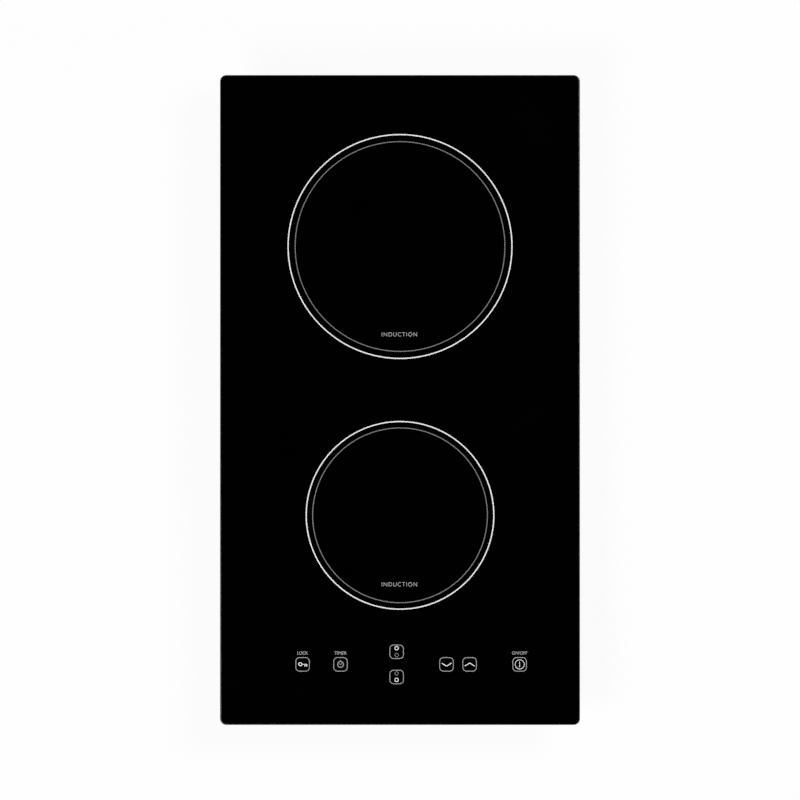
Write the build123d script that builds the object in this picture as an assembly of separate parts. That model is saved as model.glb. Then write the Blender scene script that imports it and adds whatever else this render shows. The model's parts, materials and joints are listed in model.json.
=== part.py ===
from build123d import *
import os
from math import cos, radians, sin, sqrt

# Every size is in mm. X runs to the right, Y to the rear and Z up.
# The origin is the middle of the rim's seat, level with the worktop's surface.

# Glass plate and the seal under its rim
GLASS_WIDTH = 288.0
GLASS_DEPTH = 520.0
GLASS_THICKNESS = 4.0
GLASS_CORNER_RADIUS = 5.0
GLASS_EDGE_BEVEL = 0.8
GASKET_THICKNESS = 2.0
GASKET_WIDTH = 8.0
GASKET_INSET = 1.5

# Enamel print on the glass
PRINT_THICKNESS = 0.05
REAR_ZONE_DIAMETER = 180.0
REAR_FINE_LINE_INSET = 5.6
FRONT_ZONE_DIAMETER = 151.0
FRONT_FINE_LINE_INSET = 5.1
REAR_MARGIN_SHARE = 0.3785
ZONE_GAP_SHARE = 0.3975
ZONE_LINE_WIDTH = 0.9
FINE_LINE_WIDTH = 0.36
KEY_SIZE = 11.4
KEY_CORNER_RADIUS = 3.3
KEY_LINE_WIDTH = 0.42
SIGN_GRID = 11.4
SIGN_LINE_WIDTH = 0.68
RING_LINE_WIDTH = 0.62
SHAFT_LINE_WIDTH = 0.48
POWER_LINE_WIDTH = 0.42
HAND_LINE_WIDTH = 0.36
FAINT_LINE_WIDTH = 0.2
KEY_ROW_FROM_FRONT = 48.5
SELECT_KEY_PITCH = 20.2
LOCK_KEY_X = -77.9
TIMER_KEY_X = -47.6
SELECT_KEY_X = -2.7
DOWN_KEY_X = 37.2
UP_KEY_X = 55.7
POWER_KEY_X = 95.7

# Sheet steel case
RIM_SIDE_OVERHANG = 14.0
RIM_END_OVERHANG = 15.0
BUILT_IN_DEPTH = 56.0
SHEET = 1.0
CASE_CORNER_RADIUS = 6.0
CASE_BEND_RADIUS = 2.5
VENT_SLOT_WIDTH = 3.0
VENT_SLOT_PITCH = 7.0
FRONT_VENT_COUNT = 15
SIDE_VENT_COUNT = 14
SIDE_VENT_GAP = 14.0
FLOOR_VENT_COUNT = 16
FLOOR_VENT_LENGTH = 36.0
VENT_SLOT_HEIGHT = 18.0

# Folded frame bonded under the glass
FRAME_FLANGE = 12.0
FRAME_LEG = 12.0
FRAME_CLEARANCE = 0.3
BOND_THICKNESS = 1.0
BOND_WIDTH = 7.0
SCREW_RADIUS = 1.5
SCREW_HEAD_RADIUS = 3.0
SCREW_HEAD_HEIGHT = 1.8
SCREW_HOLE_CLEARANCE = 0.1
CASE_SCREW_FROM_END = 50.0

# Swing clamps in the side pockets
POCKET_DEPTH = 13.0
POCKET_HEADROOM = 1.5
CLAMP_FROM_REAR = 50.0
CLAMP_TRAY_GAP = 3.0
CLAMP_AXIS_FROM_POCKET_END = 8.0
CLAMP_SCREW_RADIUS = 2.5
CLAMP_HEAD_RADIUS = 4.3
CLAMP_HEAD_HEIGHT = 3.2
CLAMP_HEAD_LIFT = 0.5
CLAMP_SOCKET_RADIUS = 2.25
CLAMP_HUB_RADIUS = 5.4
CLAMP_HUB_HEIGHT = 7.0
CLAMP_ARM_LENGTH = 24.0
CLAMP_ARM_WIDTH = 9.6
CLAMP_ARM_THICKNESS = 3.0
CLAMP_NUT_RADIUS = 4.6
CLAMP_NUT_HEIGHT = 4.0
CLAMP_TIP_CLEARANCE = 2.0
RUNNING_CLEARANCE = 0.08
RUNNING_GAP = 0.1
HEXAGON_SIDES = 6

# Coil stack, from the glass down
MAT_THICKNESS = 4.0
MICA_THICKNESS = 0.5
WIRE_HEIGHT = 4.5
DECK_THICKNESS = 2.5
FERRITE_HEIGHT = 5.0
FERRITE_WIDTH = 13.0
FERRITE_COUNT = 8
FERRITE_EYE_GAP = 6.0
COIL_LEG_HEIGHT = 8.5
COIL_LEG_RADIUS = 4.5
COIL_LEG_ANGLES = (45, 135, 225, 315)
COIL_MARGIN = 6.0
COIL_EYE_RADIUS = 24.0
DECK_LIP = 3.0
TURN_GAP = 0.6
REAR_TURNS = 17
FRONT_TURNS = 13
TURN_TEST_STEP = 5
SENSOR_RADIUS = 9.0
SENSOR_CLEARANCE = 2.0
LEAD_RADIUS = 1.8
LEAD_SPACING = 15.0
LEAD_BEND_RADIUS = 6.0
LEAD_DROP_PITCH = 18.0

# Shield plate and what stands under it
SHIELD_SHEET = 1.0
SHIELD_CLEARANCE = 1.5
POST_RADIUS = 3.5
POST_EDGE_DISTANCE = 6.5
POST_THREAD_DEPTH = 9.0
POST_SCREW_GRIP = 6.0
EQUIPMENT_GAP = 2.5
SHIELD_HEADROOM = 3.0

# Blower
BLOWER_SIZE = 88.0
BLOWER_WALL = 1.8
BLOWER_FROM_REAR = 7.0
BLOWER_INLET_RADIUS = 26.0
BLOWER_OUTLET_WIDTH = 54.0
BLOWER_EAR_RADIUS = 5.0
BLOWER_EAR_OFFSET = 3.0
BLOWER_EAR_ANGLES = (45, 135, 215)
IMPELLER_CLEARANCE = 6.0
IMPELLER_BLADES = 30
BLADE_LENGTH = 8.0
BLADE_THICKNESS = 0.9
BLADE_ANGLE = 25.0
HUB_RADIUS = 17.0
HUB_HEIGHT = 10.2
HUB_WALL = 1.5
HUB_BOSS_RADIUS = 4.0
MOTOR_CLEARANCE = 1.5
SHAFT_RADIUS = 1.5

# Power board, its parts and the mains side
BOARD_THICKNESS = 1.6
STANDOFF_HEIGHT = 6.0
STANDOFF_RADIUS = 3.5
BOARD_DUCT_GAP = 16.0
BOARD_DEPTH = 250.0
PACKAGE_HEIGHT = 5.0
HEATSINK_WIDTH = 66.0
HEATSINK_LENGTH = 112.0
HEATSINK_BASE = 4.0
FIN_THICKNESS = 1.4
FIN_COUNT = 12
PACKAGE_WIDTH = 16.0
PACKAGE_LENGTH = 20.0
PACKAGE_COUNT = 3
CAPACITOR_HEIGHT = 17.0
RESONANT_WIDTH = 32.0
RESONANT_DEPTH = 18.0
RESONANT_FROM_LEADS = 27.0
RESONANT_PITCH = 45.0
SMOOTHING_WIDTH = 30.0
SMOOTHING_DEPTH = 16.0
SMOOTHING_FROM_LEADS = 24.0
SMOOTHING_PITCH = 28.8
SUPPRESSION_WIDTH = 26.0
SUPPRESSION_DEPTH = 12.0
SUPPRESSION_PITCH = 21.7
SUPPLY_CAPACITOR_RADIUS = 5.0
SUPPLY_CAPACITOR_HEIGHT = 15.3
SUPPLY_CAPACITOR_PITCH = 15.0
SUPPLY_CAPACITOR_COUNT = 3
SUPPLY_CAPACITOR_FROM_SIDE = 30.0
SUPPLY_CAPACITOR_GAP = 10.0
TRANSFORMER_WIDTH = 24.0
TRANSFORMER_DEPTH = 16.0
TRANSFORMER_FROM_SIDE = 28.0
TRANSFORMER_FROM_FRONT = 58.0
BOBBIN_STEP = 3.0
CHOKE_RADIUS = 13.0
CHOKE_CORE_RADIUS = 4.5
FILTER_BLOWER_GAP = 20.0
FILTER_BOARD_DEPTH = 62.0
FILTER_BOARD_GAP = 10.0
TERMINAL_WIDTH = 64.0
TERMINAL_DEPTH = 22.0
TERMINAL_HEIGHT = 20.0
TERMINAL_WAYS = 5
TERMINAL_WELL_DEPTH = 5.0
TERMINAL_FROM_WALL = 6.0
WIRE_RADIUS = 1.4
WIRE_BEND_RADIUS = 2.1
WIRE_STUB = 0.3
WIRE_RISE = 7.0
WIRE_FROM_FILTER_EDGE = 5.6
WIRE_FROM_BOARD_EDGE = 11.2

# Terminal door and cable gland on the rear wall
DOOR_WIDTH = 80.0
DOOR_HEIGHT = 30.0
DOOR_THICKNESS = 2.0
DOOR_GAP = 0.3
DOOR_FROM_SIDE = 24.0
DOOR_ABOVE_FLOOR = 8.0
DOOR_LAP = 6.0
HINGE_BARREL_RADIUS = 2.1
HINGE_PIN_RADIUS = 0.9
HINGE_LEAF = 9.0
GLAND_DOOR_GAP = 11.0
GLAND_ABOVE_FLOOR = 22.0
GLAND_BORE_RADIUS = 5.0
GLAND_NECK_RADIUS = 8.0
GLAND_FLANGE_RADIUS = 11.0
GLAND_FLANGE_THICKNESS = 2.5
GLAND_NECK_LENGTH = 9.0
GLAND_NUT_THICKNESS = 4.0

# Control unit
PAD_RADIUS = 4.5
PAD_HEIGHT = 9.0
CONTROL_BOARD_DEPTH = 42.0
CONTROL_BOARD_MARGIN = 12.0
TRAY_THICKNESS = 2.0
TRAY_RIB = 2.0
TRAY_EDGE = 4.0
TRAY_RIB_FROM_END = 21.5
TRAY_LEG_RADIUS = 4.5
DIGIT_WIDTH = 12.0
DIGIT_DEPTH = 9.0
DIGIT_GLASS_GAP = 0.5
BUZZER_RADIUS = 6.0
RIBBON_WIDTH = 24.0
RIBBON_THICKNESS = 0.9
RIBBON_BEND_RADIUS = 3.0
RIBBON_PASSAGE = 5.0
RIBBON_SOCKET_DEPTH = 6.0
RIBBON_SOCKET_HEIGHT = 8.0

# Levels and edges that follow from the sizes above
GLASS_UNDER = GASKET_THICKNESS
GLASS_TOP = GLASS_UNDER + GLASS_THICKNESS
FRAME_TOP = GLASS_UNDER - BOND_THICKNESS
FLOOR_UNDER = -BUILT_IN_DEPTH
FLOOR_TOP = FLOOR_UNDER + SHEET
CASE_WIDTH = GLASS_WIDTH - 2 * RIM_SIDE_OVERHANG
CASE_DEPTH = GLASS_DEPTH - 2 * RIM_END_OVERHANG
INNER_Y = CASE_DEPTH / 2 - SHEET
# The depth that the zones and keys leave free is shared out behind, between and in front of the zones.
KEY_BAND = KEY_ROW_FROM_FRONT + SELECT_KEY_PITCH / 2 + KEY_SIZE / 2
SPARE_DEPTH = GLASS_DEPTH - REAR_ZONE_DIAMETER - FRONT_ZONE_DIAMETER - KEY_BAND
REAR_ZONE_Y = GLASS_DEPTH / 2 - SPARE_DEPTH * REAR_MARGIN_SHARE - REAR_ZONE_DIAMETER / 2
ZONE_DISTANCE = SPARE_DEPTH * ZONE_GAP_SHARE + (REAR_ZONE_DIAMETER + FRONT_ZONE_DIAMETER) / 2
FRONT_ZONE_Y = REAR_ZONE_Y - ZONE_DISTANCE
KEY_ROW_Y = KEY_ROW_FROM_FRONT - GLASS_DEPTH / 2
KEYS = [
    (LOCK_KEY_X, KEY_ROW_Y),
    (TIMER_KEY_X, KEY_ROW_Y),
    (SELECT_KEY_X, KEY_ROW_Y + SELECT_KEY_PITCH / 2),
    (SELECT_KEY_X, KEY_ROW_Y - SELECT_KEY_PITCH / 2),
    (DOWN_KEY_X, KEY_ROW_Y),
    (UP_KEY_X, KEY_ROW_Y),
    (POWER_KEY_X, KEY_ROW_Y),
]

MAT_UNDER = GLASS_UNDER - MAT_THICKNESS
MICA_UNDER = MAT_UNDER - MICA_THICKNESS
WIRE_UNDER = MICA_UNDER - WIRE_HEIGHT
DECK_UNDER = WIRE_UNDER - DECK_THICKNESS
SHIELD_TOP = DECK_UNDER - COIL_LEG_HEIGHT
SHIELD_UNDER = SHIELD_TOP - SHIELD_SHEET

POCKET_ROOF_TOP = FRAME_TOP - FRAME_LEG - POCKET_HEADROOM - CLAMP_NUT_HEIGHT
POCKET_ROOF_UNDER = POCKET_ROOF_TOP - SHEET
POCKET_BACK = CASE_WIDTH / 2 - POCKET_DEPTH
CLAMP_X = CASE_WIDTH / 2 - POCKET_DEPTH / 2
CLAMP_HEAD_TOP = FLOOR_UNDER + CLAMP_HEAD_LIFT + CLAMP_HEAD_HEIGHT
CLAMP_NUT_UNDER = CLAMP_HEAD_TOP + RUNNING_GAP
CLAMP_HUB_UNDER = CLAMP_NUT_UNDER + CLAMP_NUT_HEIGHT + RUNNING_GAP
CLAMP_ARM_TOP = CLAMP_HUB_UNDER + CLAMP_HUB_HEIGHT
CLAMPS = {
    "rear_left": (-1, 1),
    "rear_right": (1, 1),
    "front_left": (-1, -1),
    "front_right": (1, -1),
}

SHIELD_X = POCKET_BACK - SHEET - SHIELD_CLEARANCE
POST_X = SHIELD_X - POST_EDGE_DISTANCE
EQUIPMENT_X = POST_X - POST_RADIUS - EQUIPMENT_GAP

BLOWER_X = EQUIPMENT_X - BLOWER_SIZE / 2
BLOWER_Y = INNER_Y - BLOWER_FROM_REAR - BLOWER_SIZE / 2
BLOWER_TOP = SHIELD_UNDER - SHIELD_HEADROOM
BLOWER_COVER_UNDER = BLOWER_TOP - BLOWER_WALL
SCROLL_RADIUS = BLOWER_SIZE / 2
IMPELLER_RADIUS = SCROLL_RADIUS - BLOWER_WALL - IMPELLER_CLEARANCE
IMPELLER_TOP = BLOWER_COVER_UNDER - MOTOR_CLEARANCE
IMPELLER_UNDER = FLOOR_TOP + BLOWER_WALL + MOTOR_CLEARANCE

BOARD_UNDER = FLOOR_TOP + STANDOFF_HEIGHT
BOARD_TOP = BOARD_UNDER + BOARD_THICKNESS
HEATSINK_UNDER = BOARD_TOP + PACKAGE_HEIGHT
HEATSINK_TOP = SHIELD_UNDER - SHIELD_HEADROOM

CONTROL_TOP = GLASS_UNDER - PAD_HEIGHT
CONTROL_UNDER = CONTROL_TOP - BOARD_THICKNESS
TRAY_TOP = CONTROL_UNDER - TRAY_RIB
TRAY_UNDER = TRAY_TOP - TRAY_THICKNESS
CONTROL_HALF_WIDTH = max(abs(x) for x, y in KEYS) + CONTROL_BOARD_MARGIN
TRAY_HALF_WIDTH = CONTROL_HALF_WIDTH + TRAY_EDGE
TRAY_REAR_Y = KEY_ROW_Y + CONTROL_BOARD_DEPTH / 2 + TRAY_EDGE
TRAY_FRONT_Y = KEY_ROW_Y - CONTROL_BOARD_DEPTH / 2 - TRAY_EDGE
CLAMP_REAR_Y = CASE_DEPTH / 2 - CLAMP_FROM_REAR
CLAMP_FRONT_Y = TRAY_REAR_Y + CLAMP_TRAY_GAP + SHEET + CLAMP_AXIS_FROM_POCKET_END
POCKET_REACH = CLAMP_ARM_LENGTH + CLAMP_TIP_CLEARANCE
SHIELD_FRONT_Y = TRAY_REAR_Y + RIBBON_PASSAGE
SHIELD_REAR_Y = INNER_Y - SHIELD_CLEARANCE
LEAD_MIDDLE_Y = (
    REAR_ZONE_Y - REAR_ZONE_DIAMETER / 2 + FRONT_ZONE_Y + FRONT_ZONE_DIAMETER / 2
) / 2
LEAD_END_Z = BOARD_TOP + CAPACITOR_HEIGHT / 2

DOOR_LEFT_X = -CASE_WIDTH / 2 + DOOR_FROM_SIDE
DOOR_RIGHT_X = DOOR_LEFT_X + DOOR_WIDTH
DOOR_UNDER = FLOOR_UNDER + DOOR_ABOVE_FLOOR
DOOR_TOP = DOOR_UNDER + DOOR_HEIGHT
HINGE_X = DOOR_LEFT_X - HINGE_BARREL_RADIUS
HINGE_Y = CASE_DEPTH / 2 + DOOR_GAP + HINGE_BARREL_RADIUS
GLAND_X = DOOR_RIGHT_X + GLAND_DOOR_GAP + GLAND_FLANGE_RADIUS
GLAND_Z = FLOOR_UNDER + GLAND_ABOVE_FLOOR
TERMINAL_X = (DOOR_LEFT_X + DOOR_RIGHT_X) / 2
TERMINAL_Y = INNER_Y - TERMINAL_FROM_WALL - TERMINAL_DEPTH / 2
FILTER_BOARD_WIDTH = 2 * EQUIPMENT_X - BLOWER_SIZE - FILTER_BLOWER_GAP
FILTER_X = -EQUIPMENT_X + FILTER_BOARD_WIDTH / 2
FILTER_Y = TERMINAL_Y - TERMINAL_DEPTH / 2 - FILTER_BOARD_GAP - FILTER_BOARD_DEPTH / 2
FILTER_FRONT_Y = FILTER_Y - FILTER_BOARD_DEPTH / 2
BOARD_REAR_Y = min(BLOWER_Y - BLOWER_SIZE / 2 - BOARD_DUCT_GAP, FILTER_FRONT_Y - FILTER_BOARD_GAP)
BOARD_FRONT_Y = BOARD_REAR_Y - BOARD_DEPTH
HEATSINK_Y = BOARD_REAR_Y - HEATSINK_LENGTH / 2


def block(x0, x1, y0, y1, z0, z1):
    """A box between two opposite corners."""
    return Pos((x0 + x1) / 2, (y0 + y1) / 2, (z0 + z1) / 2) * Box(x1 - x0, y1 - y0, z1 - z0)


def post(x, y, z0, z1, radius):
    """An upright cylinder."""
    return Pos(x, y, (z0 + z1) / 2) * Cylinder(radius, z1 - z0)


def tube(x, y, z0, z1, outer, inner):
    """An upright cylinder with a bore right through."""
    return post(x, y, z0, z1, outer) - post(x, y, z0 - SHEET, z1 + SHEET, inner)


def slab(outline, z0, z1):
    """A flat outline given thickness between two levels."""
    return Pos(0, 0, z0) * extrude(outline, z1 - z0)


def rounded(width, depth, radius, z0, z1):
    """A plate with rounded corners, centred on the origin."""
    return slab(RectangleRounded(width, depth, radius), z0, z1)


def joined(shapes):
    """Several shapes made one solid."""
    whole = shapes[0]
    for shape in shapes[1:]:
        whole = whole + shape
    return whole


def sideways(shape, x, y, z, turn):
    """A shape built along Z, laid level with its top towards the given compass turn."""
    return Pos(x, y, z) * Rot(0, 0, turn) * Rot(0, 90, 0) * shape


def round_wire(points, radius, bend):
    """A round wire along straight runs with smooth bends."""
    path = FilletPolyline(*points, radius=bend)
    return sweep(Plane(origin=path @ 0, z_dir=path % 0) * Circle(radius), path)


def screw(x, y, z, length, up):
    """A pan head screw whose head sits on the level z; up is 1 for a head on top."""
    head = post(x, y, min(z, z + up * SCREW_HEAD_HEIGHT), max(z, z + up * SCREW_HEAD_HEIGHT),
                SCREW_HEAD_RADIUS)
    shank = post(x, y, min(z, z - up * length), max(z, z - up * length), SCREW_RADIUS)
    return head + shank


def screw_hole(x, y, z0, z1):
    """The clearance hole for a small screw."""
    return post(x, y, z0, z1, SCREW_RADIUS + SCREW_HOLE_CLEARANCE)


# Glass, seal and print

def glass_plate():
    plate = rounded(GLASS_WIDTH, GLASS_DEPTH, GLASS_CORNER_RADIUS, GLASS_UNDER, GLASS_TOP)
    top_edges = plate.faces().sort_by(Axis.Z)[-1].edges()
    return chamfer(top_edges, GLASS_EDGE_BEVEL)


def ring_plate(width, depth, radius, band, z0, z1):
    """A rectangular ring with rounded corners."""
    inner_radius = max(radius - band, FRAME_CLEARANCE)
    return (rounded(width, depth, radius, z0, z1)
            - rounded(width - 2 * band, depth - 2 * band, inner_radius, z0 - SHEET, z1 + SHEET))


def worktop_gasket():
    return ring_plate(GLASS_WIDTH - 2 * GASKET_INSET, GLASS_DEPTH - 2 * GASKET_INSET,
                      GLASS_CORNER_RADIUS - GASKET_INSET, GASKET_WIDTH, 0, GASKET_THICKNESS)


def circle_line(x, y, radius, width):
    """A printed circle; the radius is that of its outer edge."""
    return tube(x, y, GLASS_TOP, GLASS_TOP + PRINT_THICKNESS, radius, radius - width)


def zone_print(centre_y, diameter, fine_inset):
    fine_radius = (diameter - ZONE_LINE_WIDTH + FINE_LINE_WIDTH) / 2 - fine_inset
    return [
        circle_line(0, centre_y, diameter / 2, ZONE_LINE_WIDTH),
        circle_line(0, centre_y, fine_radius, FINE_LINE_WIDTH),
    ]


def key_outlines():
    outer = RectangleRounded(KEY_SIZE, KEY_SIZE, KEY_CORNER_RADIUS)
    inside = KEY_SIZE - 2 * KEY_LINE_WIDTH
    inner = RectangleRounded(inside, inside, KEY_CORNER_RADIUS - KEY_LINE_WIDTH)
    line = slab(outer - inner, GLASS_TOP, GLASS_TOP + PRINT_THICKNESS)
    return [Pos(x, y, 0) * line for x, y in KEYS]


def stroke(x, y, points, width=SIGN_LINE_WIDTH):
    """A printed line of even width with round ends through the given points."""
    shapes = []
    for (x0, y0), (x1, y1) in zip(points, points[1:]):
        length = sqrt((x1 - x0) ** 2 + (y1 - y0) ** 2)
        run = Rectangle(length, width)
        plane = Plane(origin=((x0 + x1) / 2, (y0 + y1) / 2, 0), x_dir=(x1 - x0, y1 - y0, 0),
                      z_dir=(0, 0, 1))
        shapes.append(plane * run)
    for x0, y0 in points:
        shapes.append(Pos(x0, y0) * Circle(width / 2))
    return Pos(x, y, 0) * slab(joined(shapes), GLASS_TOP, GLASS_TOP + PRINT_THICKNESS)


def key_signs():
    """The signs inside the keys: key, clock, two zone marks, down, up and power."""
    # Each sign is drawn on a square grid, as many units wide as SIGN_GRID says.
    lock, timer, rear, front, down, up, power = KEYS
    unit = KEY_SIZE / SIGN_GRID
    lock_sign = joined([
        circle_line(lock[0] - 1.85 * unit, lock[1] + 0.1 * unit, 1.7 * unit, RING_LINE_WIDTH),
        stroke(*lock, [(-0.3 * unit, 0.1 * unit), (3.4 * unit, 0.1 * unit), (3.4 * unit, -1.5 * unit)],
               SHAFT_LINE_WIDTH),
        stroke(*lock, [(1.75 * unit, 0.1 * unit), (1.75 * unit, -1.5 * unit)], SHAFT_LINE_WIDTH),
        stroke(*lock, [(2.55 * unit, 0.1 * unit), (2.55 * unit, -1.0 * unit)], HAND_LINE_WIDTH),
    ])
    clock = joined([
        circle_line(timer[0], timer[1], 2.9 * unit, SHAFT_LINE_WIDTH),
        stroke(*timer, [(-1.0 * unit, 2.45 * unit), (0, 3.4 * unit), (1.0 * unit, 2.45 * unit)],
               SHAFT_LINE_WIDTH),
    ])
    hands = stroke(*timer, [(-1.25 * unit, 1.15 * unit), (0, 0.1 * unit), (1.25 * unit, 1.15 * unit)],
                   HAND_LINE_WIDTH)
    zone_marks = [
        circle_line(rear[0], rear[1] + 2.85 * unit, 1.9 * unit, RING_LINE_WIDTH),
        circle_line(rear[0], rear[1] - 2.65 * unit, 1.7 * unit, FAINT_LINE_WIDTH),
        circle_line(front[0], front[1] + 2.9 * unit, 1.7 * unit, FAINT_LINE_WIDTH),
        circle_line(front[0], front[1] - 2.3 * unit, 1.9 * unit, RING_LINE_WIDTH),
    ]
    down_sign = stroke(*down, [(-3.7 * unit, 0.9 * unit), (0, -1.4 * unit), (3.7 * unit, 0.9 * unit)])
    up_sign = stroke(*up, [(-3.7 * unit, -1.3 * unit), (0, 1.0 * unit), (3.7 * unit, -1.3 * unit)])
    power_ring = circle_line(power[0], power[1], 4.0 * unit, POWER_LINE_WIDTH)
    power_bar = stroke(*power, [(0, -2.2 * unit), (0, 2.2 * unit)], POWER_LINE_WIDTH)
    return [lock_sign, clock, hands, *zone_marks, down_sign, up_sign, power_ring, power_bar]


# Case, frame and their screws

def case_screw_places():
    """Where the case is screwed to the frame: x, y and the turn the head faces."""
    side_y = CASE_DEPTH / 2 - CASE_SCREW_FROM_END
    end_x = CASE_WIDTH / 2 - CASE_SCREW_FROM_END
    places = []
    for side in (-1, 1):
        for y in (-side_y, 0, side_y):
            places.append((side * CASE_WIDTH / 2, y, 0 if side > 0 else 180))
        for x in (-end_x, end_x):
            places.append((x, side * CASE_DEPTH / 2, 90 * side))
    return places


def case_screw_z():
    return FRAME_TOP - FRAME_LEG / 2


def case_screw_holes():
    """Clearance holes for the case screws, through the wall and the frame's leg behind it."""
    hole = Cylinder(SCREW_RADIUS + SCREW_HOLE_CLEARANCE, 2 * FRAME_LEG)
    return [sideways(hole, x, y, case_screw_z(), turn) for x, y, turn in case_screw_places()]


def clamp_place(side, end):
    """The axis of one clamp's screw."""
    return side * CLAMP_X, CLAMP_REAR_Y if end > 0 else CLAMP_FRONT_Y


def pocket(side, end, growth):
    """The space for one swing clamp, grown by the wall on its inner sides."""
    y = clamp_place(side, end)[1]
    near_y = y + end * (CLAMP_AXIS_FROM_POCKET_END + growth)
    far_y = y - end * (POCKET_REACH + growth)
    back = side * (POCKET_BACK - growth)
    outside = side * (CASE_WIDTH / 2 + CASE_CORNER_RADIUS)
    return block(min(back, outside), max(back, outside), min(near_y, far_y), max(near_y, far_y),
                 FLOOR_UNDER - SHEET, POCKET_ROOF_UNDER + growth)


def tray(width, depth, radius, bend, z0, z1):
    """A rounded block with its lower edges rounded too."""
    body = rounded(width, depth, radius, z0, z1)
    return fillet(body.faces().sort_by(Axis.Z)[0].edges(), bend)


def vent_slots():
    """Long holes: the air inlet under the blower, and outlets in the floor, front and side walls."""
    cutters = []
    rows = int(BLOWER_INLET_RADIUS // VENT_SLOT_PITCH)
    for row in range(-rows, rows + 1):
        y = row * VENT_SLOT_PITCH
        length = 2 * sqrt(BLOWER_INLET_RADIUS ** 2 - y ** 2)
        slot = SlotOverall(length, VENT_SLOT_WIDTH)
        cutters.append(Pos(BLOWER_X, BLOWER_Y + y, 0) * slab(slot, FLOOR_UNDER - SHEET, FLOOR_TOP + SHEET))
    floor_y = (TRAY_REAR_Y + BOARD_FRONT_Y) / 2
    outlet = slab(SlotOverall(FLOOR_VENT_LENGTH, VENT_SLOT_WIDTH, rotation=90), FLOOR_UNDER - SHEET,
                  FLOOR_TOP + SHEET)
    for index in range(FLOOR_VENT_COUNT):
        x = (index - (FLOOR_VENT_COUNT - 1) / 2) * VENT_SLOT_PITCH
        cutters.append(Pos(x, floor_y, 0) * outlet)
    upright = SlotOverall(VENT_SLOT_HEIGHT, VENT_SLOT_WIDTH)
    bar = extrude(upright, CASE_CORNER_RADIUS, both=True)
    vent_z = (FLOOR_TOP + POCKET_ROOF_UNDER) / 2
    for index in range(FRONT_VENT_COUNT):
        x = (index - (FRONT_VENT_COUNT - 1) / 2) * VENT_SLOT_PITCH
        cutters.append(Pos(x, -CASE_DEPTH / 2, vent_z) * Rot(0, 0, 90) * Rot(0, 90, 0) * bar)
    for side in (-1, 1):
        for index in range(SIDE_VENT_COUNT):
            y = CLAMP_FRONT_Y + POCKET_REACH + SIDE_VENT_GAP + index * VENT_SLOT_PITCH
            cutters.append(Pos(side * CASE_WIDTH / 2, y, vent_z) * Rot(0, 90, 0) * bar)
    return cutters


def floor_pin_places():
    """Where posts and legs are riveted through the case floor."""
    return shield_post_places() + standoff_places() + tray_leg_places()


def bottom_case():
    top = FRAME_TOP
    outer = tray(CASE_WIDTH, CASE_DEPTH, CASE_CORNER_RADIUS, CASE_BEND_RADIUS, FLOOR_UNDER, top)
    inner = tray(CASE_WIDTH - 2 * SHEET, CASE_DEPTH - 2 * SHEET, CASE_CORNER_RADIUS - SHEET,
                 CASE_BEND_RADIUS - SHEET, FLOOR_TOP, top + SHEET)
    for side, end in CLAMPS.values():
        outer = outer - pocket(side, end, 0)
        inner = inner - pocket(side, end, SHEET)
    case = outer - inner
    cutters = vent_slots() + case_screw_holes()
    for x, y in floor_pin_places() + blower_ear_places():
        cutters.append(screw_hole(x, y, FLOOR_UNDER - SHEET, FLOOR_TOP + SHEET))
    for side, end in CLAMPS.values():
        x, y = clamp_place(side, end)
        cutters.append(post(x, y, POCKET_ROOF_UNDER - SHEET, POCKET_ROOF_TOP + SHEET,
                            CLAMP_SCREW_RADIUS + SCREW_HOLE_CLEARANCE))
    cutters.append(block(DOOR_LEFT_X + DOOR_LAP, DOOR_RIGHT_X - DOOR_LAP, INNER_Y - SHEET,
                         CASE_DEPTH / 2 + SHEET, DOOR_UNDER + DOOR_LAP, DOOR_TOP - DOOR_LAP))
    gland_hole = Cylinder(GLAND_NECK_RADIUS + SCREW_HOLE_CLEARANCE, 4 * SHEET)
    cutters.append(sideways(gland_hole, GLAND_X, CASE_DEPTH / 2, GLAND_Z, 90))
    return case - cutters


def carrier_frame():
    width = CASE_WIDTH - 2 * SHEET - 2 * FRAME_CLEARANCE
    depth = CASE_DEPTH - 2 * SHEET - 2 * FRAME_CLEARANCE
    radius = CASE_CORNER_RADIUS - SHEET - FRAME_CLEARANCE
    flange = ring_plate(width, depth, radius, FRAME_FLANGE, FRAME_TOP - SHEET, FRAME_TOP)
    leg = ring_plate(width, depth, radius, SHEET, FRAME_TOP - FRAME_LEG, FRAME_TOP)
    return flange + leg - case_screw_holes()


def glass_bond():
    inset = SHEET + FRAME_CLEARANCE + (FRAME_FLANGE - BOND_WIDTH) / 2
    return ring_plate(CASE_WIDTH - 2 * inset, CASE_DEPTH - 2 * inset, CASE_CORNER_RADIUS - SHEET,
                      BOND_WIDTH, FRAME_TOP, GLASS_UNDER)


def case_screws():
    length = SHEET * 2 + FRAME_CLEARANCE + 2 * SCREW_RADIUS
    one = screw(0, 0, 0, length, 1)
    return [sideways(one, x, y, case_screw_z(), turn) for x, y, turn in case_screw_places()]


# Swing clamps

def hexagon(x, y, z0, z1, radius, bore):
    """A hexagon nut with a plain bore."""
    nut = Pos(x, y, 0) * slab(RegularPolygon(radius, HEXAGON_SIDES), z0, z1)
    return nut - post(x, y, z0 - SHEET, z1 + SHEET, bore)


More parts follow.
